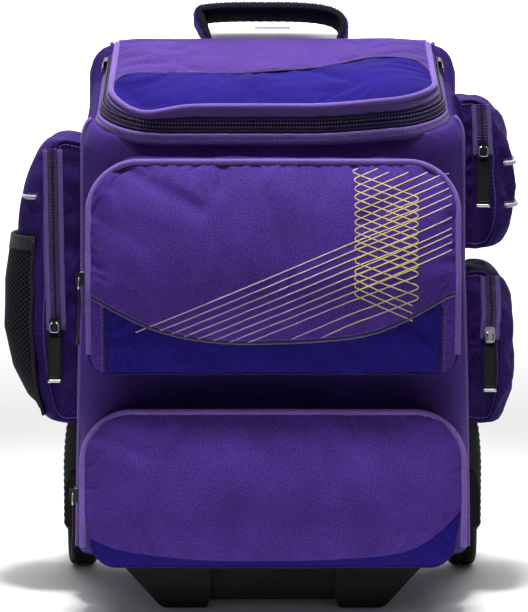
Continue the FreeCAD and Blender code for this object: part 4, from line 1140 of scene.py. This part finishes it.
class SidePocket:
    """A side pocket is its outline carried front to back: small at the front seam, widest a third of the way, and
    drawn in again at the back. Its front gusset is flat where the zip is sewn in."""

    def __init__(self, tag, outline, seam_x, zip_line, node, seed, zip_node):
        self.tag, self.side, self.seam_x, self.node = tag, math.copysign(1, seam_x), seam_x, node
        self.zip, self.seed, self.zip_node = np.array(zip_line, float), seed, zip_node
        self.line = soft_line([(*p, 16) for p in outline], 120, closed=True)
        self.middle = np.array([self.side * 178.0, (self.line[:, 1].max() + self.line[:, 1].min()) / 2])
        self.inside = (self.middle[0], 0.0, self.middle[1])

    def ring(self, y):
        """Outline at a depth. The outer edge moves in towards the front seam and the back as an ellipse does."""
        front = np.clip((-12 - y) / 43, 0, 1)
        back = np.clip((y - 22) / 38, 0, 1)
        pull = 1 - np.sqrt(np.clip(1 - front ** 2.4, 0, 1)) + 0.9 * (1 - np.sqrt(np.clip(1 - back ** 2.4, 0, 1)))
        outer = np.abs(self.line[:, 0]).max()
        far = (np.abs(self.line[:, 0]) - 172) / (outer - 172)
        x = np.abs(self.line[:, 0]) - np.clip(far, 0, 1) * pull * (outer - abs(self.seam_x))
        height = self.line[:, 1].max() - self.middle[1]
        z = self.line[:, 1] - (self.line[:, 1] - self.middle[1]) / height * pull * 2.5
        x = np.maximum(x, half_width(z) - 1.5)
        return np.stack([self.side * x, np.full(len(x), y), z], 1)

    def make(self):
        depths = -55 + 115 * (1 - np.cos(np.linspace(0, math.pi, 30))) / 2
        band = np.stack([self.ring(y) for y in depths])
        shares = np.linspace(0.04, 0.97, 16)
        hub = np.array([self.middle[0], 0, self.middle[1]])
        front = np.stack([hub + (band[0] - hub) * [s, 1, s] for s in shares])
        rear = np.stack([hub + (band[-1] - hub) * [s, 1, s] for s in shares[::-1]])
        rings = np.concatenate([front, band, rear])
        x, y, z = rings[..., 0], rings[..., 1], rings[..., 2]
        on_front = (np.arange(len(rings)) < 16)[:, None]
        outer = np.clip((np.abs(x) - 176) / 14, 0, 1)
        from_zip = np.abs(x - np.interp(z, self.zip[:, 1], self.zip[:, 0]))
        room = 1 - np.exp(-(from_zip / 10) ** 2)
        fade = np.clip((1 - np.append(shares, np.ones(46)))[:, None] / 0.25, 0, 1)
        rings[..., 1] -= np.where(on_front, 2.2 * room * fade, 0)
        sway = ripple(z, y + 40 * on_front, 55, self.seed) * 1.2 * outer
        rings[..., 0] += self.side * sway * ~on_front
        form = loft(rings)
        held = np.ones(len(form[0]), bool)
        free = (np.abs(rings[..., 0]) > half_width(z) + 2) & ~(on_front & (from_zip < 9.5))
        free[15:17] = False
        held[:free.size] = ~free.ravel()
        moved = puffed(form[0], form[1], held, pressure=3.5, slack=0.03, cap=4.0)
        piece(self.tag + "_cloth", (moved, form[1], form[2]), SIDE_CLOTH_PAINTED_SHADE, "bag", [self.node],
              round_off=1)
        seam = band[0] + np.array([0, -0.4, 0])
        seen = np.abs(seam[:, 0]) > half_width(seam[:, 2]) + 0.5
        start = np.flatnonzero(~seen & np.roll(seen, -1))
        order = np.roll(np.arange(len(seam)), -(int(start[0]) + 1)) if len(start) else np.arange(len(seam))
        path = seam[order][:int(seen.sum())]
        # The front seam cord takes the side cloth, painted darker as painted shade.
        cord(self.tag + "_front_seam", resample(path, 160), 0.95, SHADE, up=(0.0, -1.0, 0.0))
        inner = self.middle_pull(path, 3.4)
        sewn_row(self.tag + "_seam_stitches", resample(inner, 160) + np.array([0, -0.7, 0]), (0.0, -1.0, 0.0))
        self.make_zip()

    def middle_pull(self, path, by):
        """The path drawn towards the gusset's middle line."""
        hub = np.array([self.middle[0], POCKET_FRONT, self.middle[1]])
        return path + unit(hub - path) * by

    def make_zip(self):
        """Two tapes with stitched edges, two rows of teeth between them."""
        line = resample(self.zip, 60)
        path = np.stack([line[:, 0], np.full(60, POCKET_FRONT), line[:, 1]], 1)
        tangent = unit(np.gradient(path, axis=0))
        across = np.cross(tangent, [0.0, 1.0, 0.0])
        out = np.array([0.0, -1.0, 0.0])
        for name, way in (("one", -1.0), ("two", 1.0)):
            share = np.linspace(0.5, 8.6, 7)[None, :, None]
            grid = path[:, None] + way * across[:, None] * share + out * (1.2 + 0.5 * np.sin(share / 8.6 * math.pi))
            form = pad(grid, 2.4, (path[:, 0].mean(), 0.0, path[:, 2].mean()))
            piece(f"{self.tag}_zip_tape_{name}", form[:3], BINDING, "bag", [self.zip_node])
            teeth(f"{self.tag}_teeth_{name}", path + out * 1.2, way * across, out, "bag", pitch=2.3,
                  size=(1.35, 4.3, 1.3))
            sewn_row(f"{self.tag}_zip_stitches_{name}", path + way * across * 6.8 + out * 1.45, out)


# The side pockets' cloth is the purple painted darker: painted shade.
SIDE_CLOTH_PAINTED_SHADE = SHADE
LEFT = SidePocket("left_pocket", [(-140, 396), (-182, 405), (-199, 403), (-215, 368), (-222, 330), (-223, 230),
                                  (-214, 185), (-203, 156), (-188, 151), (-140, 157)], -203.0,
                  [(-189.5, 236), (-191, 300), (-192, 394)], "left_pocket", 91, "left_pocket_zip")
RIGHT_HIGH = SidePocket("right_upper_pocket", [(140, 436), (180, 441), (198, 430), (211, 395), (214, 340),
                                               (207, 317), (192, 305), (140, 308)], 196.0,
                        [(183, 390), (182.5, 412), (181, 433)], "right_upper_pocket", 93, "right_upper_zip")
RIGHT_LOW = SidePocket("right_lower_pocket", [(140, 286), (190, 291), (205, 281), (216, 240), (216, 190),
                                              (205, 158), (196, 151), (140, 157)], 200.0,
                       [(190, 228), (191.5, 250), (190, 283)], "right_lower_pocket", 95, "right_lower_zip")
for pocket in (LEFT, RIGHT_HIGH, RIGHT_LOW):
    pocket.make()


def outer_cord(name, pocket, z, replaces=()):
    """Reflective cord across the outer cloth at a height, from the front seam to the back."""
    y = np.linspace(POCKET_FRONT + 2, POCKET_BACK - 4, 60)
    rings = np.stack([pocket.ring(v) for v in y])
    outside = np.abs(rings[..., 0]) > 185
    x = np.array([np.abs(r[o][np.argmin(np.abs(r[o][:, 2] - z)), 0]) for r, o in zip(rings, outside)])
    path = np.stack([pocket.side * (x + 1.7), y, np.full(60, float(z))], 1)
    cord(name, path, 2.1, REFLECT, replaces=replaces, up=(pocket.side, 0.0, 0.0))
    edge = path + np.array([0, 0, 3.4])
    sewn_row(f"{name}_stitches", edge - np.array([pocket.side * 0.6, 0, 0]), (pocket.side, 0.0, 0.0))


outer_cord("left_reflective_cord", LEFT, 352, ["reflective_piping"])
outer_cord("right_reflective_cord_high", RIGHT_HIGH, 382)
outer_cord("right_reflective_cord_low", RIGHT_HIGH, 345)


def net_pocket():
    """Net sleeve: at each height an arch in plan from the front seam round to the back, wider at its middle."""
    height = np.linspace(160, 315, 60)[:, None]
    share = np.linspace(0, 1, 44)[None, :]
    y = -53 + 111 * share
    reach = np.interp(height, [160, 176, 200, 235, 275, 316], [205, 219, 231.5, 239, 238, 232])
    seam = np.interp(height, [151, 158, 185, 230, 316, 330], [196, 201, 204, 205, 204, 203])
    arch = (1 - np.abs(2 * share - 0.92) ** 2.6)
    reach = seam + (reach - seam) * smooth_step(height, 158, 174)
    x = -(seam + (reach - seam) * np.clip(arch, 0, 1)) + 0.5 * ripple(height, y, 40, 97)
    grid = np.stack(np.broadcast_arrays(x, y, height), -1)
    form = pad(grid, 0.7, LEFT.inside)
    sleeve = piece("net_sleeve", form[:3], NET, "bag", ["mesh_pocket"])
    for name, edge in (("front", grid[:, 0]), ("back", grid[:, -1])):
        cord(f"net_edge_{name}", edge + np.array([-0.4, 0, 0]), 1.3, WEBBING, up=(-1.0, 0.0, 0.0))
    rows = finer(np.concatenate([grid[-5:-1], grid[-1:] + np.array([0, 0, 2.0])]), 2) + np.array([-0.5, 0, 0.8])
    form = pad(rows, 2.0, LEFT.inside)
    piece("net_binding", form[:3], WEBBING, "bag")
    return grid


net_pocket()

# ---- carry handle -----------------------------------------------------------------------------------------------
HANDLE_Y, HANDLE_Z, HANDLE_LEAN = 86.0, 482.5, math.radians(28)


def carry_handle():
    """Padded loop: a flattened round section, wide side front to back, carried along an arch that leans back. The
    outer half is purple cloth, the edges and the inner half black spacer net."""
    arch = soft_line([(-57, -2, 0), (-63, 14, 10), (-69, 29, 7), (-44, 32, 22), (30, 32, 26), (58, 27, 16),
                      (66.5, 14, 9), (60, -2, 0)], 130)
    run = np.linspace(0, 1, 130)
    up_dir = np.array([0.0, math.sin(HANDLE_LEAN), math.cos(HANDLE_LEAN)])
    wide_dir = np.array([0.0, math.cos(HANDLE_LEAN), -math.sin(HANDLE_LEAN)])
    base = np.array([0.0, HANDLE_Y, HANDLE_Z])
    path = base + arch[:, :1] * np.array([1.0, 0, 0]) + arch[:, 1:] * up_dir
    tangent = unit(np.gradient(path, axis=0))
    outward = np.cross(tangent, wide_dir)
    if (outward[65] * up_dir).sum() < 0:
        outward = -outward
    turn = np.linspace(0, 2 * math.pi, 40, endpoint=False)
    fill = np.clip(np.minimum(run, 1 - run) / 0.12, 0, 1)[:, None]
    thick = 2.4 + 2.9 * fill ** 0.6 + 0.2 * np.sin(run[:, None] * 150)
    wide = 12.0 + 2.4 * fill
    a = np.sign(np.cos(turn)) * np.abs(np.cos(turn)) ** 0.55 * wide
    b = np.sign(np.sin(turn)) * np.abs(np.sin(turn)) ** 0.75 * thick
    rings = path[:, None] + a[..., None] * wide_dir + b[..., None] * outward[:, None]
    form = loft(rings)
    faces = len(form[1])
    which = np.ones(faces, int)
    column = np.arange((len(path) - 1) * 40) % 40
    which[:len(column)] = ~((turn[column] > 0.32) & (turn[column] < math.pi - 0.5))
    obj = piece("carry_loop_pad", form, [PURPLE, SPACER], "carry_loop", ["carry_handle"], which=which)
    for name, offset in (("front", -1.0), ("back", 1.0)):
        edge = path[4:-4] + wide_dir * offset * 10.6 + outward[4:-4] * (thick[4:-4] * 0.96)
        sewn_row(f"carry_loop_stitches_{name}", edge, outward[4:-4], body="carry_loop")


# The spacer net's holes are painted near-black and opaque: painted shade of the padding seen through them.
SPACER = net_cloth("spacer_net", 0.0, (0.0036, 0.003))
carry_handle()


def handle_roots():
    """Webbing tabs that hold the loop: short thick straps sewn to the strip with a boxed cross of stitches."""
    for name, side in (("left", -1.0), ("right", 1.0)):
        x = (side * np.linspace(51, 77, 16))[:, None]
        y = np.linspace(72.5, 103.5, 30)[None, :]
        hump = np.exp(-((y - HANDLE_Y) / 7) ** 2) * 5.0
        z = strip_z(y) + 2.4 + hump * np.exp(-((np.abs(x) - 62) / 12) ** 2) + 0 * x
        form = pad(np.stack(np.broadcast_arrays(x, y, z), -1), 2.6)
        piece(f"handle_tab_{name}", form[:3], WEBBING, "bag", ["handle_tabs"])
        for k, (y0, y1) in enumerate(((75, 75), (101, 101), (75, 101), (101, 75))):
            edge = np.stack([side * np.linspace(53, 75, 12), np.linspace(y0, y1, 12)], 1)
            lift = np.exp(-((edge[:, 1] - HANDLE_Y) / 7) ** 2) * 5.0
            lift = lift * np.exp(-((np.abs(edge[:, 0]) - 62) / 12) ** 2)
            points = np.column_stack([edge, strip_z(edge[:, 1]) + 2.5 + lift])
            sewn_row(f"handle_tab_{name}_stitches_{k + 1}", points, (0.0, 0.2, 1.0))


handle_roots()


# ---- wheels, guards and the cradle inside --------------------------------------------------------------------
def tyre(name, body, node, middle_x):
    """Tyre with a grooved tread: a profile round its section, turned about the axle; every other block is cut."""
    turn = np.linspace(0, 2 * math.pi, 144, endpoint=False)[:, None]
    profile = soft_line([(-12.6, 29.2, 1), (12.6, 29.2, 1), (13.0, 35.5, 3), (9.5, 39.6, 2.5), (-9.5, 39.6, 2.5),
                         (-13.0, 35.5, 3)], 48, closed=True)
    across, radius = profile[None, :, 0], profile[None, :, 1]
    tread = smooth_step(radius, 38.6, 39.4)
    cut = (np.sin(turn * 36 + across * 0.55) > 0.55) * tread * 0.9 + tread * (np.abs(across) < 0.9) * 1.0
    radius = radius - cut
    x = middle_x + across + 0 * turn
    rings = np.stack([x, 98 + radius * np.cos(turn), 40 + radius * np.sin(turn)], -1)
    form = (rings.reshape(-1, 3), grid_faces(144, 48, True, True), grid_lengths(rings))
    piece(name, form, RUBBER, body, [node])


tyre("tyre_tread_left", "wheel_left", "tyre_left", -175.0)
tyre("tyre_tread_right", "wheel_right", "tyre_right", 175.0)


def wheel_guards():
    """Ribbed guard over each wheel: in plan it wraps the body's side, and its reach swells from nothing at the top
    to its widest at the wheel. The ribs are a small wave in its reach."""
    z = np.linspace(44.5, 173, 200)[:, None]
    share = np.linspace(0, 1, 48)[None, :]
    swell = np.sqrt(np.clip(1 - (np.clip(z - 92, 0, 99) / 82) ** 2, 0, 1))
    rib = 0.9 * np.abs(np.sin((z - 44) * math.pi / 6.2)) ** 0.7
    front, back = 44.0 + 8 * (1 - swell), 109 + 38.5 * smooth_step(112 - z, -26, 4)
    wrap = np.clip(np.minimum(share, 1 - share) / 0.16, 0, 1)
    y = front + (back - front) * smooth_step(share, -0.12, 1.12)
    low = half_width(z) + 0.6
    x = low + (190.2 - low) * swell * np.sqrt(np.clip(1 - (1 - wrap) ** 2, 0, 1)) + rib * wrap
    for name, side in (("left", -1.0), ("right", 1.0)):
        grid = np.stack(np.broadcast_arrays(side * x, y, z), -1)
        form = pad(grid, 1.0, inward=(-side, 0.0, 0.0))
        piece(f"wheel_guard_{name}", form[:3], BLACK, "bag")


wheel_guards()


def cradle():
    """Foam ring that the ball sits in: a rounded section turned about its middle, softened by padding."""
    turn = np.linspace(0, 2 * math.pi, 120, endpoint=False)[:, None]
    profile = soft_line([(50, 54, 4), (90, 52, 8), (91, 74, 12), (78, 84, 9), (64, 80, 12), (49, 62, 5)], 40,
                        closed=True)
    radius = profile[None, :, 0] + 0.6 * np.sin(turn * 8) * smooth_step(profile[None, :, 1], 60, 80)
    z = profile[None, :, 1] + 0.5 * np.cos(turn * 8) * smooth_step(profile[None, :, 1], 66, 82) + 0 * turn
    rings = np.stack([radius * np.cos(turn), -8 + radius * np.sin(turn), z], -1)
    form = (rings.reshape(-1, 3), grid_faces(120, 40, True, True), grid_lengths(rings))
    piece("cradle_pad", form, FOAM, "bag", ["ball_cradle"])
    path = np.stack([77 * np.cos(turn[:, 0]), -8 + 77 * np.sin(turn[:, 0]), np.full(120, 84.2)], 1)
    cord("cradle_piping", path, 1.6, WEBBING, closed=True)


cradle()


def lid_slider(name, side):
    """Slider at the back end of the lid's zip: a flat body astride the teeth and a short pull lying along it."""
    along_zip = unit(np.array([0.0, LID_BACK - FRONT, 55.0]))
    out = np.array([side, 0.0, 0.0])
    up = np.cross(along_zip, out) * side
    spot = shoulder(np.array(side_run(40.0) if side < 0 else FULL_ROUND - side_run(40.0)), 0.0, 1.0)
    form = join(scatter(*bead(11.0, 9.5, 3.6), spot[None] + out * 1.1, along_zip[None], up[None], out[None]),
                scatter(*bead(7.0, 3.4, 2.2), spot[None] + out * 3.4, along_zip[None], up[None], out[None]),
                scatter(*bead(17.0, 5.0, 1.4), (spot - along_zip * 9)[None] + out * 4.2, along_zip[None], up[None],
                        out[None]))
    piece(f"{name}_body", form, ENAMEL, name, [name], smooth=False)


lid_slider("lid_slider_left", -1.0)
lid_slider("lid_slider_right", 1.0)

# ---- pulls -------------------------------------------------------------------------------------------------------
def tag_trim(tag, x, top, body):
    """Trim of a rubber zip tag: a raised border, a bright end bar and a bright ring at its top."""
    low, front = top - 50.0, -63.3
    border = soft_line([(x - 4.8, low + 5, 1.2), (x + 4.8, low + 5, 1.2), (x + 4.8, top - 4.5, 1.2),
                        (x - 4.8, top - 4.5, 1.2)], 60, closed=True)
    path = np.stack([border[:, 0], np.full(60, front), border[:, 1]], 1)
    piece(f"{tag}_tag_border", tube(path, 0.55, True, 6, (0.0, -1.0, 0.0)), TAG, body)
    bar = np.array([[x - 5.9, front + 1.3, low + 1.6], [x + 5.9, front + 1.3, low + 1.6]])
    piece(f"{tag}_tag_end", tube(resample(bar, 8), 2.0, sides=10, flat=0.9), BRIGHT, body)
    ring = soft_line([(x - 3.6, top - 5, 1.5), (x + 3.6, top - 5, 1.5), (x + 3.6, top + 2.5, 1.5),
                      (x - 3.6, top + 2.5, 1.5)], 48, closed=True)
    path = np.stack([ring[:, 0], np.full(48, front + 0.2), ring[:, 1]], 1)
    piece(f"{tag}_tag_ring", tube(path, 0.8, True, 8, (0.0, -1.0, 0.0)), BRIGHT, body)


for tag, x, top in (("left_pocket", -191.0, 240.0), ("right_upper", 183.0, 394.0), ("right_lower", 190.0, 232.0)):
    tag_trim(tag, x, top, f"{tag}_pull")


def tape_pull(tag, x, top, y):
    """Hanging pull: a doubled black tape that flares at its moulded end, under a bright wire ring."""
    z = np.linspace(top - 55.5, top - 5, 40)[:, None]
    share = (top - 5 - z) / 50.5
    wide = 1.9 + 2.6 * smooth_step(share, 0.72, 0.98)
    turn = np.linspace(0, 2 * math.pi, 16, endpoint=False)[None]
    thick = 1.0 + 0.7 * smooth_step(share, 0.8, 1.0)
    bow = 0.7 * np.sin(share * 5)
    rings = np.stack([x + bow + thick * np.cos(turn), y + wide * np.sin(turn), z + 0 * turn], -1)
    piece(f"{tag}_tape_pull", loft(rings), WEBBING, f"{tag}_pull", [f"{tag}_pull"])
    ring = soft_line([(y - 3.2, top - 8, 2), (y + 3.2, top - 8, 2), (y + 2.6, top + 1, 2),
                      (y - 2.6, top + 1, 2)], 48, closed=True)
    path = np.stack([np.full(48, x), ring[:, 0], ring[:, 1]], 1)
    piece(f"{tag}_pull_ring", tube(path, 0.75, True, 8, (1.0, 0.0, 0.0)), BRIGHT, f"{tag}_pull")


tape_pull("upper_pocket", -164.0, 291.0, -160.0)
tape_pull("lower_pocket", -170.0, 107.0, -162.0)

# ---- finishes of the CAD parts that show -------------------------------------------------------------------------
KEPT = {BLACK: ("wheel_housing_left", "wheel_housing_right", "front_skid", "rear_base", "trolley_bezel"),
        HUB: ("wheel_hub_left", "wheel_hub_right"), BRONZE: ("wheel_bush_left", "wheel_bush_right"),
        STEEL: ("axle_left", "axle_right", "screws", "release_rods"), GRIP: ("trolley_grip",),
        BUTTON: ("grip_button",), TUBES: ("trolley_outer_tubes", "trolley_mid_tubes", "trolley_inner_tubes"),
        BOARD: ("base_board", "back_board"),
        ENAMEL: ("left_pocket_slider", "right_upper_slider", "upper_pocket_slider", "lower_pocket_slider"),
        BRIGHT: ("right_lower_slider",),
        TAG: ("left_pocket_pull", "right_upper_pull", "right_lower_pull")}
for finish, nodes in KEPT.items():
    for node in nodes:
        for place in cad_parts[node].material_slots:
            place.material = finish

# ---- camera, floor and lights -----------------------------------------------------------------------------
scene = bpy.context.scene


def studio():
    """Camera in front and a little above, wide pale floor and backdrop, a soft sun, a lamp close to straight
    above, a small fill from the left and a wash of light on the backdrop."""
    distance, lift, aim = 3.0, math.radians(6.0), np.array([-0.0077, 0.0, 0.2512])
    camera = bpy.data.objects.new("camera", bpy.data.cameras.new("camera"))
    scene.collection.objects.link(camera)
    camera.location = tuple(CENTRE + aim + distance * np.array([0.0, -math.cos(lift), math.sin(lift)]))
    camera.rotation_euler = (math.pi / 2 - lift, 0, 0)
    camera.data.sensor_width = 36.0
    camera.data.lens = 197.8
    camera.data.clip_end = 200
    scene.camera = camera
    sheets = (("floor", [(-60, -60, 0), (60, -60, 0), (60, 9, 0), (-60, 9, 0)], 0.0),
              ("backdrop", [(-14, 8.9, -0.2), (14, 8.9, -0.2), (14, 8.9, 6), (-14, 8.9, 6)], 1.0))
    for name, corners, glow in sheets:
        sheet = bpy.data.meshes.new(name)
        sheet.from_pydata(corners, [], [(0, 1, 2, 3)])
        ground = bpy.data.objects.new(name, sheet)
        scene.collection.objects.link(ground)
        sheet.materials.append(Finish(f"studio_{name}", Roughness=0.9, Base_Color=(0.8, 0.8, 0.805, 1.0),
                                      Emission_Color=(1.0, 1.0, 1.0, 1.0), Emission_Strength=glow).material)
    world = bpy.data.worlds.new("studio")
    world.use_nodes = True
    world.node_tree.nodes["Background"].inputs["Color"].default_value = (1.0, 1.0, 1.0, 1.0)
    world.node_tree.nodes["Background"].inputs["Strength"].default_value = 0.07
    scene.world = world
    middle = np.array([0.0, 0.0, 0.28])
    lamps = (("sun", "SUN", (0.0, -0.6, 3.0), middle, 0.75, math.radians(35)),
             ("overhead", "SPOT", (0.0, -0.34, 2.6), np.array([0.0, -0.05, 0.3]), 420.0, 0.22),
             ("left_fill", "AREA", (-1.3, -2.4, 1.5), middle, 5.0, 1.2),
             ("back_wash", "AREA", (0.0, 5.2, 3.4), np.array([0.0, 5.6, 0.0]), 330.0, 6.0))
    for name, kind, place, goal, power, size in lamps:
        lamp = bpy.data.lights.new(name, kind)
        lamp.energy = power
        setattr(lamp, {"SUN": "angle", "SPOT": "shadow_soft_size"}.get(kind, "size"), size)
        if kind == "SPOT":
            lamp.spot_size, lamp.spot_blend = math.radians(42), 1.0
        obj = bpy.data.objects.new(name, lamp)
        obj.location = place
        toward = goal - np.array(place)
        flat = math.hypot(toward[0], toward[1])
        obj.rotation_euler = (math.atan2(flat, -toward[2]), 0, math.atan2(toward[1], toward[0]) - math.pi / 2)
        scene.collection.objects.link(obj)


studio()
scene.view_settings.view_transform = "Standard"
